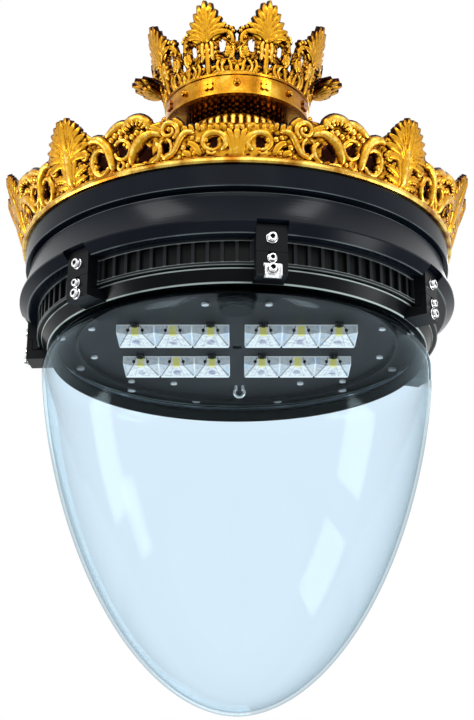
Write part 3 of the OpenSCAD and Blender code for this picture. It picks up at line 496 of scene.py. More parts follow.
def ring_of(name, motifs, material, body):
    """Repeats motifs round the lantern's axis. Each is a mesh, the number of its copies, the azimuth of
    the first and the step to the next, in degrees."""
    tree = bpy.data.node_groups.new(name + "_ring", "GeometryNodeTree")
    tree.interface.new_socket("Geometry", in_out="OUTPUT", socket_type="NodeSocketGeometry")
    entry, joined = tree.nodes.new("NodeGroupInput"), tree.nodes.new("GeometryNodeJoinGeometry")
    patterns, values = [], []
    for k, (mesh, copies, azimuth, step) in enumerate(motifs):
        pattern = bpy.data.objects.new(name + "_motif", mesh)
        scene.collection.objects.link(pattern)
        patterns.append(pattern)
        for label, kind, value in [("Motif", "Object", pattern), ("Copies", "Int", copies),
                                   ("First azimuth", "Float", math.radians(azimuth)),
                                   ("Step", "Float", math.radians(step))]:
            socket = tree.interface.new_socket(f"{label} {k}", in_out="INPUT",
                                               socket_type="NodeSocket" + kind)
            values.append((socket.identifier, value))
        motif, number, first, spread = entry.outputs[4 * k:4 * k + 4]
        shape = add_node(tree, "GeometryNodeObjectInfo", None, {"Object": motif}, "Geometry")
        spots = add_node(tree, "GeometryNodeMeshLine", None, {"Count": number, "Offset": (0, 0, 0)})
        angle = add_node(tree, "ShaderNodeMath", {"operation": "MULTIPLY_ADD"},
                         {0: add_node(tree, "GeometryNodeInputIndex"), 1: spread, 2: first})
        turn = add_node(tree, "ShaderNodeCombineXYZ", None, {"Z": angle})
        placed = add_node(tree, "GeometryNodeInstanceOnPoints", None,
                          {"Points": spots, "Instance": shape, "Rotation": turn})
        tree.links.new(placed, joined.inputs[0])
    real = add_node(tree, "GeometryNodeRealizeInstances", None, {0: joined.outputs[0]})
    painted = add_node(tree, "GeometryNodeSetMaterial", None, {"Geometry": real, "Material": material})
    add_node(tree, "NodeGroupOutput", None, {0: painted})
    holder = bpy.data.objects.new(name, bpy.data.meshes.new(name))
    scene.collection.objects.link(holder)
    modifier = holder.modifiers.new("ring", "NODES")
    modifier.node_group = tree
    for identifier, value in values:
        modifier[identifier] = value
    bpy.context.view_layer.update()
    mesh = bpy.data.meshes.new_from_object(holder.evaluated_get(bpy.context.evaluated_depsgraph_get()))
    holder.modifiers.clear()
    holder.data = mesh
    for pattern in patterns:
        bpy.data.objects.remove(pattern)
    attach(holder, body)
    return holder


carved_gilt = gilding("carved_gilt", 0.3, Finish.carved)
small_girth, small_foot = 90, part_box("small_crown_band")[1].z / mm
small_half = math.pi * small_girth / 8

# A palmette fans out over two volutes, with a stem, florets and beads between their feet.
palmette = Carving(1.25)
root_x, root_y = small_half, 42
for angle, reach in [(8, 51), (17, 43), (30, 36), (47, 32), (65, 28)]:
    a = math.radians(angle)
    tip = (root_x - reach * math.sin(a), root_y + reach * math.cos(a))
    knee = (root_x - reach * 0.45 * math.sin(a * 0.7), root_y + reach * 0.5 * math.cos(a * 0.7))
    palmette.stroke([(root_x, root_y), knee, tip], [3, 8, 6], 4, 1.0, 0.5, 2.0)
palmette.stroke([(28, 44), (20, 51), (13, 54), (7, 50), (5, 42), (8, 38)], [5, 6.5, 6, 5, 4, 3], 4, 0, 0.25)
palmette.bead(9.5, 46, 2.2, 4)
for x, y in [(4.2, 54), (6.5, 58), (11.5, 60), (16.5, 61.5)]:
    palmette.bead(x, y, 2.2, 3.2)
palmette.stroke([(28, 17), (29.5, 27), (29, 36), (31, 45)], [4, 4.5, 4.5, 4], 3.5)
palmette.stroke([(20, 0), (24, 8), (23, 15), (20.5, 19)], [4.5, 4, 3.5, 2.5], 3.6, 0, 0.25)
palmette.leaf([(10.5, 20), (9.5, 28), (10, 36)], 4, 7, 3.8, 3.4, 0.5)
palmette.stroke([(10.5, 17), (5, 23), (4, 30), (6, 36)], [3, 3.5, 3.5, 2.5], 3)
palmette.stroke([(3, 0), (7, 4), (7.5, 10), (10, 18)], [4, 4, 3.5, 3], 3.4, 0, 0.3)
palmette.stroke([(14, 0), (18, 5), (17.5, 12), (13, 18)], [3.5, 3.5, 3.5, 3], 3)
for x, y, r, height in [(31.5, 24, 2.6, 3.5), (25.5, 28, 2.2, 3), (24.5, 34, 2.0, 3), (33, 32, 2.6, 3)]:
    palmette.bead(x, y, r, height)
palmette.mirrored(small_half)
palmette.stroke([(small_half, y) for y in (-1, 12, 30, 44)], [5, 5.5, 4.5, 5], 4, 0, 0.3)
palmette.stroke([(small_half, y) for y in (42, 68, 97)], [5, 8, 5], 4, 1, 0.4, 2)
leaf_edge = [(0, 40), (5, 47), (12, 54), (17, 58), (22, 66), (29, 84), (small_half, 93)]
openings = [(17, 36, 3.6, 9.5), (29, 17, 4.4, 5), (13, 13, 3.2, 4), (0, 22, 4, 5)]
palmette.web(leaf_edge + [(2 * small_half - x, y) for x, y in reversed(leaf_edge[:-1])],
             openings + [(2 * small_half - x, y, across, up) for x, y, across, up in openings],
             front=-1, pitch=2.6, tone=0.3, pierced=True)

# A small leaf fills the notch between two palmettes, on the rail that joins them.
notch = Carving(1.25)
notch.stroke([(0, -1), (0, 5), (0, 12)], [6, 5.5, 2], 3.6, 0.5, 0.2, 1)
notch.stroke([(-small_half, 1), (0, 1), (small_half, 1)], [3.4, 3.4, 3.4], 2.4, 0, 0, 0, 4)

# A leaf of three layers spreads out level at either side.
side_leaf = Carving(1.3)
for base, reach in [(-5, 24), (0, 36), (5, 24)]:
    for angle in (-42, -21, 0, 21, 42):
        a = math.radians(angle)
        out_x, tip_y = reach * math.sin(a), reach * math.cos(a) ** 1.4
        side_leaf.stroke([(0, -6), (0.5 * out_x, 0.45 * tip_y), (0.7 * out_x, tip_y)],
                         [6, 9, 5], 4, base, 0.4, -0.4 * base)


def crown_leaf(carving, name, lean=10, radius=88, foot=small_foot):
    return carving.cast(name, small_girth, radius, foot, lean)


small_leaves = ring_of("small_crown_foliage", [
    (crown_leaf(palmette, "front_palmette"), 2, -45, 45),
    (crown_leaf(palmette, "back_palmette"), 2, 135, 45),
    (crown_leaf(palmette, "right_palmette", 17), 2, 45, 45),
    (crown_leaf(palmette, "left_palmette", 17), 2, 225, 45),
    (crown_leaf(notch, "notch_leaf"), 8, 0, 45),
    (crown_leaf(side_leaf, "side_leaf", 76, 99, small_foot + 26), 2, 90, 180),
], carved_gilt, "housing")
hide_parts("small_crown_leaves")

# Neck collar: two tiers of round flutes under the small crown, cast with the roof's top and
# gilded. The flutes' light and shade are painted on the gold: crests pale as painted highlights, hollows
# brown as painted shade, and the rows of beads above them dim as painted shadow under the crown.
flute_count, flute_top, bead_foot, bead_rate = 44, -110, -104, 0.9


def flute_light_and_shade(leaf):
    """Painted light and shade of round flutes cut up a drum, with rows of beads above them kept dim as
    painted shadow under the crown.
    """
    turn = leaf.part(1).maths("ARCTAN2", leaf.part(1), leaf.part(0)) * flute_count
    ribs = -1 * turn.maths("COSINE", turn)
    height = leaf.part(2) * (1 / mm)
    rows = height.maths("SINE", height * bead_rate)
    # Above the flutes the beads stay dim: painted shadow under the small crown.
    low = 1 - height.within(flute_top, bead_foot)
    return low * (0.5 + 0.6 * ribs) + (1 - low) * (0.02 + 0.42 * ribs * rows)


dress(gilding("fluted_gilt", 0.28, flute_light_and_shade), "neck_collar")

# Roof: a spun and cast ogee that sheds rain into the trough behind the large crown, in the same
# coat as the socket, bolted down on a rubber cord with stainless screws from below.
dress(housing_coat, "roof")
rubber = powder_coat("seal_rubber", (0.006, 0.006, 0.006), 0.72, 0.15)
dress(rubber, "roof_seal")
dress(steel, "roof_screws")

# Large crown, the foot: a cast and gilded moulding on the skirt's upper edge, held from above
# by stainless screws, with a thin bright line at its top and at its bottom.
dress(gilding("foot_gilt", 0.26, pale=1.0), "crown_foot")
dress(steel, "crown_screws")

# Large crown, the gallery: a carved and pierced openwork of cast aluminium, gilded, on the foot.
# A fan stands at the front and at the back, scrolls and wings run from it both ways, a tall
# palmette stands at each corner, and three stand together at either side.
gallery_girth, gallery_radius, gallery_lean = 257, 253, 15
gallery_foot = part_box("crown_foot")[1].z / mm

# The fan: stems that open upwards between two scrolls, under a row of small lobes.
fan = Carving(1.25)
fan.stroke([(2.6, -1), (3.6, 10), (6, 22), (10, 31)], [3.4, 4.6, 6, 5], 3.2, 0, 0.2, 0.6)
fan.stroke([(5, -1), (6.5, 8), (10, 20), (16, 27)], [2.6, 3.4, 4.4, 4], 2.8, 0, 0.2, 0.6)
fan.spiral(25, 16, 10, 14, 236, -330, [4.5, 6, 6.5, 5.5, 4], 4, 0, 0.85)
fan.spiral(27.5, 8.5, 3.5, 6, 200, 220, [3, 3.6, 2.6], 3)
fan.bead(32.5, 18.5, 2.6, 4)
for x, lean_x in [(13, 0), (20, 1), (27, 2), (34, 4)]:
    fan.stroke([(x, 27), (x + lean_x * 0.4, 31), (x + lean_x, 35)], [3.5, 5, 4], 3, 0, 0.35, 0.4)
fan.mirrored()
fan.stroke([(0, -1), (0, 12), (0, 22), (0, 31)], [5, 5.6, 6.5, 7], 3.2, 0.2, 0.15, 0.4)
for x in (-5.5, 0, 5.5):
    fan.stroke([(x, 28), (x * 1.1, 34.5)], [4, 4.4], 3, 0.2)

# The scrolls on either side of it, with leaves, beads and a large volute.
scrolls = Carving(1.3)
for x, y, lean_x, tall in [(40, 28, 2, 9), (46, 27, 4, 9), (52, 27, 5, 8)]:
    scrolls.stroke([(x, y), (x + lean_x * 0.4, y + tall * 0.6), (x + lean_x, y + tall)],
                   [3.5, 5, 3], 3.6, 0.5, 0.35, 1)
scrolls.stroke([(44, 27), (53, 28), (60, 22), (64, 14), (70, 6), (82, 2)], [5, 6.5, 6.5, 6, 5.5, 4], 5.5)
scrolls.stroke([(39, 1), (42, 9), (47, 15), (54, 17)], [5, 6, 6, 4], 4, 0, 0.3)
scrolls.stroke([(49, 1), (54, 6), (60, 4)], [6, 6.5, 5], 4, 0, 0.2)
for x, y, r in [(41, 19, 2.8), (47, 21.5, 2.6), (57, 12, 3), (45.5, 5, 2.6), (62, 2, 2.4)]:
    scrolls.bead(x, y, r, r * 1.3)
scrolls.spiral(71.5, 32, 3.4, 10.5, 250, -500, [5, 5.5, 4.5, 3.6], 5)
scrolls.bead(71, 33.5, 2.6, 4.5)
scrolls.stroke([(56, 34), (61, 40), (67, 45)], [4, 4.5, 4], 3.4, 0, 0.3)
scrolls.spiral(77, 14, 6, 7.5, 100, 350, [3, 4, 3], 3.6, 0, 1.5)
scrolls.stroke([(89, 22), (83, 17), (83, 10), (87, 3), (95, 0)], [4, 5.5, 5.5, 5, 3], 4.5)
scrolls.stroke([(76, 26), (80, 33), (90, 38.5), (97, 39)], [3.5, 5, 5, 3.5], 4, 0, 0.3)
scrolls.mirrored()

# The wings, which reach round to the corners: heavy scrolls, a shell, fruit and two round eyes.
wings = Carving(1.35)
wings.stroke([(80, 27), (86, 31), (96, 31), (106, 25), (114, 14), (118, 2)], [5, 7, 10, 10, 8.5, 6], 7)
wings.stroke([(118, 2), (110, 0), (100, 0.5)], [5, 5, 3], 4.5)
wings.stroke([(94, 35), (95, 44), (103, 50), (114, 49.5), (121, 44), (120, 37)],
             [5, 7.5, 8.5, 8.5, 7, 4], 6)
shell_x, shell_y = 108, 38
for k in range(6):
    a = math.radians(165 - 28 * k)
    rib = [(shell_x + across * math.cos(a), shell_y + up * math.sin(a))
           for across, up in [(7, 5), (14, 12.5)]]
    wings.stroke(rib, [2.6, 3.4, 2.4], 2.4, 4.2, 0, 0, 4, 0.4)
wings.stroke([(116, 48), (127, 48.5), (138, 44), (147, 38)], [5, 7, 6.5, 4], 5)
for x, y, r in [(107, 36, 3.4), (113, 33, 3.2), (101, 35, 3), (126, 41, 3.4), (133, 38.5, 3.2),
                (119.5, 34, 2.6), (138.5, 35, 3), (127, 35, 2.6)]:
    wings.bead(x, y, r, r * 1.4)
wings.spiral(126.5, 21, 9.5, 10.5, 30, 330, [4, 4.5, 4], 4.5, 0, 1.05)
wings.spiral(131, 4.5, 2.4, 5.5, 100, 330, [3.5, 3.6, 3], 3.8)
wings.bead(122, 3.5, 2.6, 3.6)
wings.stroke([(140.5, 0), (141.5, 14), (144.5, 28), (152, 37.5), (162, 41), (170, 38)],
             [6, 8, 9, 9, 8, 5], 7)
wings.spiral(155.5, 15, 10.5, 12, 205, 300, [4.5, 5, 5.5, 5, 4], 4.5, 0, 1.25)
wings.stroke([(160, 31), (164, 23), (161, 16)], [4, 6, 4], 4, 0, 0.3)
wings.bead(163.5, 11, 3, 3.6)
wings.bead(162, 5, 2.6, 3.2)
wings.mirrored()


def both_sides(places):
    return [(-x, *rest) for x, *rest in reversed(places)] + places


crest_line = [(100.7, 53), (110, 55), (119, 52), (125, 52.5), (137, 47), (146, 43), (164, 45),
              (170, 51), (178, 58)]
wing_eyes = [(101, 13, 8, 9), (126.5, 21, 5.5, 6.5), (155.5, 15, 6.5, 10), (147, 13, 2.6, 5),
             (113, 34, 3, 2.4)]
front_eyes = [(25, 16, 5.5, 5.5), (71.5, 31, 3, 3), (77, 14, 3.4, 6), (54, 9, 3, 2.5)]
side_eyes = [(28, 12, 5, 6), (29, 40, 4, 6), (71.5, 14, 4, 6)]
front_web, side_web = Carving(), Carving()
front_web.web(both_sides([(2, 36), (37, 37), (48, 33), (56, 35), (67, 45), (94, 42.5), *crest_line]),
              both_sides(front_eyes + wing_eyes))
side_web.web(both_sides([(2, 68), (60, 66), (86, 60), *crest_line]), both_sides(side_eyes + wing_eyes))

# The tall palmette: seven lobes on each side of a heavy stem, over leaves and volutes.
palm = Carving(1.25)
palm_lobes = [(9, 43), (18, 42), (28, 41), (39, 40), (52, 39), (67, 37), (84, 34)]
for k, (angle, reach) in enumerate(palm_lobes):
    a = math.radians(angle)
    root = (-2, 37 - 2.2 * k)
    tip = (-reach * math.sin(a), root[1] + reach * math.cos(a))
    knee = (-reach * 0.45 * math.sin(a * 0.75), root[1] + reach * 0.52 * math.cos(a * 0.75))
    palm.stroke([root, knee, tip], [5, 9, 7], 4.5, 1.0, 0.5, 1.5)
palm.leaf([(-4, 8), (-14, 15), (-29, 17)], 4, 10, 5, 4, 0.5)
palm.leaf([(-3, 2), (-12, 5.5), (-26, 6)], 3, 8, 5, 3.4, 0.5)
palm.stroke([(-4, 0), (-6, 14), (-10, 26), (-16, 34)], [5, 6, 6, 4], 5, 0, 0.2)
palm.spiral(-25, 28, 2, 6.5, 20, 420, [4, 4.5, 3], 4.5)
palm.stroke([(-30, 36), (-27, 43), (-30, 49)], [5, 6, 4], 4, 0, 0.35)
palm.mirrored()
palm.stroke([(0, -1), (0, 18), (0, 34), (0, 50)], [11, 12, 11, 8], 6.5)
palm.stroke([(0, 36), (0, 58), (0, 79)], [6, 9, 5.5], 5.5, 1.5, 0.4, 2)
palm.web(both_sides([(2, 77), (9, 74), (20, 64), (29, 52), (35, 40)]), both_sides([(20, 21, 3.4, 4)]))

# At the sides the crown leans out further, and the wings come back to the corners' lean.
swept, side_radius, side_lean = ((88, 112), (20, 15)), 251.5, 20


def gallery_motif(carving, name, radius=gallery_radius, lean=gallery_lean):
    return carving.cast(name, gallery_girth, radius, gallery_foot, lean)


gallery = ring_of("large_crown_gallery", [
    (gallery_motif(fan, "front_fan", 252.4), 2, 0, 180),
    (gallery_motif(scrolls, "front_scrolls"), 2, 0, 180),
    (gallery_motif(wings, "front_wings"), 2, 0, 180),
    (gallery_motif(front_web, "front_web"), 2, 0, 180),
    (gallery_motif(wings, "side_wings", lean=swept), 2, 90, 180),
    (gallery_motif(side_web, "side_web", lean=swept), 2, 90, 180),
    (gallery_motif(palm, "corner_palmette"), 4, 45, 90),
    (gallery_motif(palm, "right_palmette", side_radius, side_lean), 3, 77, 13),
    (gallery_motif(palm, "left_palmette", side_radius, side_lean), 3, 257, 13),
], carved_gilt, "housing")
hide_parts("crown_gallery")

# Skirt: the two-band casting that hides the driver, spun true and grooved between its bands. It
# is powder-coated slate black with a soft gloss, with thin pale painted highlights on its edges, and screwed
# from below.
skirt_low, skirt_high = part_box("skirt")
upper_band, groove = 25 * mm, 5 * mm
groove_top = skirt_high.z - upper_band
skirt_highlight_edges = [(skirt_low.z, 0.2465), (groove_top, 0.2515), (groove_top - groove, 0.2465)]
dress(powder_coat("skirt_powder_coat", (0.0035, 0.0058, 0.0105), 0.2, 0.1, 0.08,
                  highlight_edges=skirt_highlight_edges, edge_highlight=(0.13, 0.16, 0.17)), "skirt")
dress(steel, "skirt_screws")

# Finned band: the recessed ring that cools the driver. It is cast with upright fins between two
# rails, in a duller coat than the skirt's, with thin pale painted highlights along the rails' edges and
# painted shade in the hollows between the fins.
fin_low, fin_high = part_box("finned_band")
rail = 3.4 * mm
fin_highlight_edges = [(height, 0.2345) for height in (fin_low.z, fin_low.z + rail, fin_high.z - rail)]
dress(powder_coat("fin_coat", (0.011, 0.0135, 0.016), 0.36, 0.12,
                  highlight_edges=fin_highlight_edges, fin_shade_radii=(0.2325, 0.2352)), "finned_band")

# Clamp lugs: five castings bolted on the finned band, each with a bolt that holds it and a clamp
# screw that grips the strap below it. The fasteners are stainless, with a hexagon socket.
dress(housing_coat, "clamp_lugs")
front_clamp, clamp_step = 8.3, 51.4
clamp_first = front_clamp - 2 * clamp_step
lug_seat, lug_z, screw_seat, screw_z = 250, -360, 250.3, -383
# Their steel is painted light on the head and washer, and dark in the socket and under the head as painted
# shade, by the relief of each point.
bolt_steel = Finish("bolt_steel")
scuff = bolt_steel.noise(420, 4)
bright = (bolt_steel.carved() + 0.3 * (scuff - 0.5)).within(0.1, 0.9)
bolt_material = bolt_steel.done(bolt_steel.shader({
    "Base Color": bolt_steel.mix(bright, (0.012, 0.012, 0.013), (0.88, 0.89, 0.91)),
    "Metallic": 1.0,
    "Roughness": 0.16 + 0.12 * (scuff - 0.5),
    "Normal": bolt_steel.bump(scuff, 0.15, 0.0001),
}))


def socket_head(name, d, seat, z, across=0.0):
    """A washer and a socket head in millimetres, its hexagon open to the front, at azimuth 0. A point of
    its outline has a radius, a height over the seat, 1 if it is on the hexagon, and its relief, low
    where the steel is painted dark as shade in the socket and under the head."""
    head, hexagon, top, sides = 0.825 * d, 0.4 * d, 0.75 * d + 1.2, 24
    outline = [(0, 0, 0, 0.3), (1.05 * d, 0, 0, 0.3), (1.05 * d, 0.9, 0, 1), (d, 1.2, 0, 1),
               (head, 1.25, 0, 0.1), (head, top - 0.5, 0, 1), (head - 0.5, top, 0, 1),
               (hexagon + 0.5, top, 0, 1), (hexagon, top - 0.3, 1, 0.2), (hexagon, 0.4 * d, 1, 0),
               (0, 0.4 * d, 1, 0)]
    points, faces, relief = [], [], []
    for r, out, six, shade in outline:
        for k in range(sides):
            a = 2 * math.pi * k / sides
            reach = r / math.cos((a + math.pi / 6) % (math.pi / 3) - math.pi / 6) if six else r
            points.append(((across + reach * math.cos(a)) * mm, -(seat + out) * mm,
                           (z + reach * math.sin(a)) * mm))
            relief.append(shade)
    for row in range(len(outline) - 1):
        for k in range(sides):
            a, b = row * sides + k, row * sides + (k + 1) % sides
            faces.append((a, b, b + sides, a + sides))
    return solid(name, points, faces, relief)


def bolt_set(node, body, motifs):
    bolts = ring_of(node + "_set", motifs, bolt_material, body)
    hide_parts(node)


bolt_set("lug_bolts", "housing",
         [(socket_head("lug_bolt", 6, lug_seat, lug_z), 5, clamp_first, clamp_step)])
bolt_set("clamp_screws", "housing",
         [(socket_head("clamp_screw", 5, screw_seat, screw_z), 5, clamp_first, clamp_step)])

# Hinge: a leaf bolted on the housing at the back, another on the globe ring, both castings in
# the housing's coat, and a ground steel pin through their knuckles.
dress(housing_coat, "hinge_fixed_leaf", "hinge_moving_leaf")
dress(bright_steel("pin_steel"), "hinge_pin")
hinge_azimuth, bolt_spread = 183.2, (-10, 10)
bolt_set("hinge_bolts", "housing",
         [(socket_head("hinge_bolt", 6, lug_seat, lug_z, x), 1, hinge_azimuth, 0) for x in bolt_spread])

# Globe ring and its straps: the slim casting that carries the bowl and hangs on the hinge, in
# a glossier coat with bright painted highlights on its edges, sealed with rubber above and under the bowl's
# rim.
# Bolted straps hang it on the clamps, and a bright tab locks the front one.
ring_low, ring_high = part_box("globe_ring")
ring_highlight_edges = [(ring_high.z - 0.6 * mm, 0.2), (ring_low.z + 0.3 * mm, 0.222), (ring_low.z + 0.9 * mm, 0.222)]
dress(powder_coat("ring_coat", (0.002, 0.003, 0.004), 0.24, 0.1, 0.08,
                  highlight_edges=ring_highlight_edges, edge_highlight=(0.42, 0.5, 0.48)), "globe_ring")
dress(rubber, "frame_seal", "globe_seat_seal")
dress(housing_coat, "ring_straps")
dress(bright_steel("tab_steel", 0.24, (0.82, 0.83, 0.85)), "lock_tab")
strap_d, strap_seat, strap_z, tab_seat = 5.9, 250, -395.1, 251.5
leaf_seat, leaf_z = 240, -395.8
bolt_set("strap_bolts", "globe_frame", [
    (socket_head("left_strap_bolt", strap_d, strap_seat, strap_z), 2, clamp_first, clamp_step),
    (socket_head("tab_bolt", strap_d, tab_seat, strap_z), 1, front_clamp, 0),
    (socket_head("right_strap_bolt", strap_d, strap_seat, strap_z), 2, front_clamp + clamp_step, clamp_step),
    *[(socket_head("leaf_bolt", 5, leaf_seat, leaf_z, x), 1, hinge_azimuth, 0) for x in bolt_spread]])

# Snap ring: a hoop of zinc-plated spring wire, sprung into the ring's groove, which holds the
# bowl's rim down on its seal.
dress(bright_steel("spring_wire", 0.3, (0.8, 0.81, 0.83), 0.6), "globe_snap_ring")

# Bowl: blown acrylic, clear with a faint blue cast, 4 mm thick, egg-shaped, with a neck tucked
# in to pass the ring and a rolled rim that rests in it.
bowl_low, bowl_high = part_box("globe")
bowl_r, bowl_depth, bowl_neck = bowl_high.x, ring_low.z - bowl_low.z, 215.4 * mm
bowl_wall, bowl_p, bowl_q, bowl_shoulder = 4 * mm, 1.741, 1.911, 28 * mm
rim_r, rim_high = 221.3 * mm, bowl_high.z
rim_low = rim_high - 4 * mm


def bowl_point(inset, share):
    """Radius and height on the bowl's outside, or on a wall inset from it, at a share of its depth."""
    depth = share * (bowl_depth - inset)
    belly = (bowl_r - inset) * (1 - share ** bowl_p) ** (1 / bowl_q)
    tuck = (bowl_r - bowl_neck) * (1 - depth / bowl_shoulder) ** 2 if depth < bowl_shoulder else 0
    return belly - tuck, ring_low.z - depth


def lathe(name, profile, segments, material):
    """A closed outline of radius and height, turned about the lantern's axis. Radius 0 makes a pole."""
    points, faces, rows = [], [], []
    for r, z in profile:
        if r == 0:
            rows.append([len(points)] * segments)
            points.append((0, 0, z))
            continue
        rows.append(list(range(len(points), len(points) + segments)))
        for k in range(segments):
            a = 2 * math.pi * k / segments
            points.append((r * math.cos(a), r * math.sin(a), z))
    for low, high in zip(rows, rows[1:] + rows[:1]):
        for k in range(segments):
            n = (k + 1) % segments
            corner = list(dict.fromkeys((low[k], low[n], high[n], high[k])))
            if len(corner) > 2:
                faces.append(tuple(corner))
    mesh = solid(name, points, faces)
    mesh.materials.append(material)
    piece = bpy.data.objects.new(name, mesh)
    scene.collection.objects.link(piece)
    return piece


def clear_plastic(name, tint, sheen, edge, roughness):
    """Clear moulding: it lets light through with a tint, and mirrors more the flatter it is seen."""
    clear = Finish(name)
    facing = clear.node("ShaderNodeLayerWeight", None, {"Blend": 0.5}, "Facing")
    through = clear.node("ShaderNodeBsdfTransparent", None, {"Color": tint})
    gloss = clear.node("ShaderNodeBsdfGlossy", None, {"Color": edge, "Roughness": roughness})
    mirror = sheen + 0.03 * facing ** 2 + 0.75 * facing ** 5
    return clear.done(clear.node("ShaderNodeMixShader", None, {0: mirror, 1: through, 2: gloss}))


bowl_steps = 96
shares = [math.sin(math.radians(90 * k / bowl_steps)) for k in range(bowl_steps + 1)]
rim = [(bowl_neck - bowl_wall, rim_high), (rim_r, rim_high), (rim_r, rim_low), (bowl_neck, rim_low)]
outside = [bowl_point(0, share) for share in shares]
inside = [bowl_point(bowl_wall, share) for share in shares]
bowl = lathe("clear_bowl", rim + outside + inside[::-1], 256,
             clear_plastic("clear_acrylic", (0.918, 0.967, 1.0), 0.011, (0.45, 0.55, 0.59), 0.022))
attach(bowl, "globe_frame")
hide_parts("globe")

# Neck band: black enamel sprayed inside the bowl's neck, down to a little below the ring, which
# hides the rim and its seal from below. It is a thin shell of its own just inside the acrylic.
enamel = powder_coat("neck_enamel", (0.0012, 0.0014, 0.0016), 0.5, 0.04, 0.05)
enamel_depth, enamel_gap, enamel_wall, enamel_steps = 9 * mm, 0.2 * mm, 0.4 * mm, 4
wall_line = [(bowl_neck - bowl_wall, ring_low.z + 3 * mm)]
for k in range(enamel_steps + 1):
    wall_line.append(bowl_point(bowl_wall, enamel_depth * k / enamel_steps / (bowl_depth - bowl_wall)))
outer_line = [(r - enamel_gap, z) for r, z in wall_line]
inner_line = [(r - enamel_gap - enamel_wall, z) for r, z in wall_line]
neck_band = lathe("black_neck_band", outer_line + inner_line[::-1], 192, enamel)
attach(neck_band, "globe_frame")

# Gear tray and light plate: black-coated sheet that closes the housing and carries the lamps,
# held by stainless pan-head screws with a pale satin face.
plate_coat = powder_coat("plate_coat", (0.012, 0.0122, 0.0135), 0.42, 0.12)
dress(plate_coat, "gear_tray", "light_plate")
hook_steel = bright_steel("hook_steel", 0.3, (0.97, 0.97, 0.95), 0.5)
dress(hook_steel, "plate_screws", "tray_screws")

# Boards and chips: aluminium-cored boards under white solder mask, held flat on the plate by the
# lens modules, and surface-mounted chips under yellow phosphor.
board = Finish("white_board")
dress(board.done(board.shader({
    "Base Color": board.mix(board.noise(160, 2), (0.82, 0.83, 0.82), (0.9, 0.9, 0.89)),
    "Roughness": 0.45,
})), "led_boards")
phosphor = Finish("yellow_phosphor")
dress(phosphor.done(phosphor.shader({
    "Base Color": phosphor.mix(phosphor.noise(700, 2), (0.75, 0.6, 0.06), (0.95, 0.85, 0.2)),
    "Roughness": 0.35,
})), "led_chips")

# Lens modules: moulded strips of three clear polycarbonate cells, screwed over the boards, their
# silvery inner reflection painted on and a faint painted glow added. Each cell is a straight-sided
# block, faceted below, with its yellow chip seen through the front.
lens_low, lens_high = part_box("lens_rear_right")
strip_start, row_half = lens_low.x / mm, (lens_low.y + lens_high.y) / 2 / mm
board_under = lens_high.z / mm
cell, cell_half, cell_deep, cell_edge, cell_play = 43, 21.5, 12, 9.6, 0.15
front_flat, rear_flat = 8, 20
ear_out, ear_half, ear_deep = 25.5, 5, 3

# The pattern lies on the cell's front faces and its underside as if they were unfolded: aside
# is the distance from the cell's middle, and run the distance from its front top edge.
lens_glass = Finish("silvery_polycarbonate")
across, along, height = (lens_glass.part(axis) * (1 / mm) for axis in range(3))
from_inner = across.size() - strip_start
aside = (from_inner.maths("MODULO", from_inner, cell) - cell_half).size()
run = along - row_half * along.maths("SIGN", along) + cell_half + (board_under - height)
cloud = lens_glass.noise(70, 2)
fine = lens_glass.noise(240, 2)
chip = (1 - (aside * aside / 22).within(0.3, 1.2)) * cloud.within(0.2, 0.4)
chip = chip * run.within(0, 2.5) * (1 - run.within(14, 21))
peg_aside, peg_run = aside - 8.3, run - 7
peg = 1 - (peg_aside * peg_aside / 4.4 + peg_run * peg_run / 6).within(0.5, 1.2)
diagonal = aside - 8 - 0.277 * (run - 8)
inner_slope = aside - 3 - 0.16 * (run - 12)
facet_lines = (0.75 * (1 - diagonal.size().within(0.3, 1.1))
               + 0.35 * (1 - inner_slope.size().within(0.2, 0.9)) * run.within(14, 18))
deep_run = run - 36
violet = 1 - (aside * aside / 34 + deep_run * deep_run / 110).within(0.2, 1.1)
border = run.within(49, 51.5) + (1 - run.within(0.8, 2)) + aside.within(20.3, 20.8)
# Painted light and shade on the facets: bright inside the diagonals, grey outside them.
shade = lens_glass.mix(diagonal.within(-0.4, 0.4), (1.0, 0.98, 0.93), (0.72, 0.74, 0.74))
shade = lens_glass.mix(fine.within(0.42, 0.72) * 0.6, shade, (0.4, 0.42, 0.44))
shade = lens_glass.mix(aside.within(14, 20) * cloud.within(0.45, 0.6) * 0.6, shade, (0.4, 0.62, 0.9))
shade = lens_glass.mix(facet_lines, shade, (0.1, 0.11, 0.12))
shade = lens_glass.mix(violet * cloud.within(0.3, 0.6) * 0.8, shade, (0.2, 0.18, 0.34))
shade = lens_glass.mix(chip, shade, (0.95, 0.86, 0.24))
shade = lens_glass.mix(peg, shade, (0.012, 0.012, 0.014))
shade = lens_glass.mix(border.within(0.2, 0.8), shade, (1.0, 1.0, 0.96))
# The base colour is painted reflection and facet shade, and a faint emission in the same pattern is a
# painted glow: the lens is no lamp.
lens_material = lens_glass.done(lens_glass.shader({
    "Base Color": shade,
    "Metallic": 0.2,
    "Roughness": 0.16,
    "Emission Color": shade,
    "Emission Strength": 0.16,
}))


def square(x, y, half):
    return [(x - half, y - half), (x + half, y - half), (x + half, y + half), (x - half, y + half)]


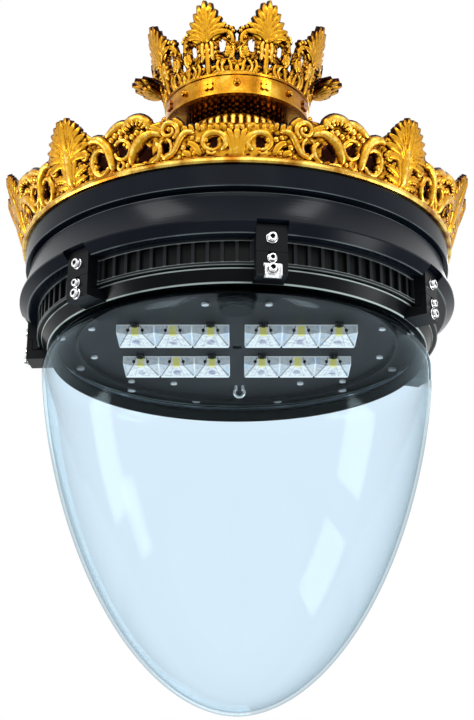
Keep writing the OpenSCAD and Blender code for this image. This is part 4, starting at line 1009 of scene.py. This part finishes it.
def lens_strip(name, x, y, z):
    """Three cells side by side, in millimetres, with two screw ears at either end."""
    points, faces = [], []

    def block(top, bottom, sides):
        """A block under the board: its top corners, its bottom ones with their depths, and its faces."""
        first = len(points)
        points.extend((px, py, z) for px, py in top)
        points.extend((px, py, z - deep) for px, py, deep in bottom)
        faces.extend(tuple(first + k for k in face) for face in [(0, 1, 2, 3), *sides])

    for k in (-1, 0, 1):
        cx, half = x + cell * k, cell_half - cell_play
        front, rear = y - half, y + half
        bottom = [(cx - half, front, cell_edge), (cx - front_flat, front, cell_deep),
                  (cx + front_flat, front, cell_deep), (cx + half, front, cell_edge),
                  (cx + half, rear, cell_edge), (cx + rear_flat, rear, cell_deep),
                  (cx - rear_flat, rear, cell_deep), (cx - half, rear, cell_edge)]
        block(square(cx, y, half), bottom, [(0, 1, 7, 6, 5, 4), (1, 2, 8, 7), (2, 3, 11, 10, 9, 8),
                                            (3, 0, 4, 11), (5, 6, 9, 10), (4, 5, 10, 11), (6, 7, 8, 9)])
        if k == 0:
            continue
        for side in (-1, 1):
            ear = square(cx, y + side * ear_out, ear_half)
            block(ear, [(*corner, ear_deep) for corner in ear],
                  [(4, 5, 6, 7), (0, 1, 5, 4), (1, 2, 6, 5), (2, 3, 7, 6), (3, 0, 4, 7)])
    mesh = solid(name, [tuple(c * mm for c in point) for point in points], faces)
    mesh.shade_flat()
    mesh.materials.append(lens_material)
    mesh.materials.append(plate_coat)
    for face in mesh.polygons:
        face.material_index = int(abs(face.center.y / mm - y) > cell_half)
    strip = bpy.data.objects.new(name, mesh)
    scene.collection.objects.link(strip)
    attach(strip, "housing")
    return strip


for lens_node in ("lens_front_left", "lens_front_right", "lens_rear_left", "lens_rear_right"):
    low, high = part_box(lens_node)
    middle = (low + high) / 2 / mm
    strip = lens_strip(lens_node + "_cells", middle.x, middle.y, board_under)
    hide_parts(lens_node)
dress(nylon, "lens_screws")

# Sensor and hook: the light sensor is a head moulded of black nylon under its own nut, and the
# lanyard hook is a bent and polished steel rod, held by two nuts behind the plate.
dress(nylon, "sensor_head", "sensor_nut")
dress(hook_steel, "safety_hook", "hook_nuts")

# Gear inside the housing: the driver in its extruded aluminium case on its feet, the surge
# protector in blue plastic, the terminal block and the brass earth stud, all on the gear tray.
dress(bright_steel("driver_case", 0.42, (0.68, 0.69, 0.71)), "driver", "driver_feet")
dress(steel, "driver_screws")
dress(powder_coat("surge_case", (0.02, 0.06, 0.22), 0.45), "surge_protector")
dress(powder_coat("terminal_body", (0.72, 0.68, 0.58), 0.5), "terminal_block")
dress(bright_steel("earth_brass", 0.3, (0.75, 0.55, 0.2)), "earth_stud")
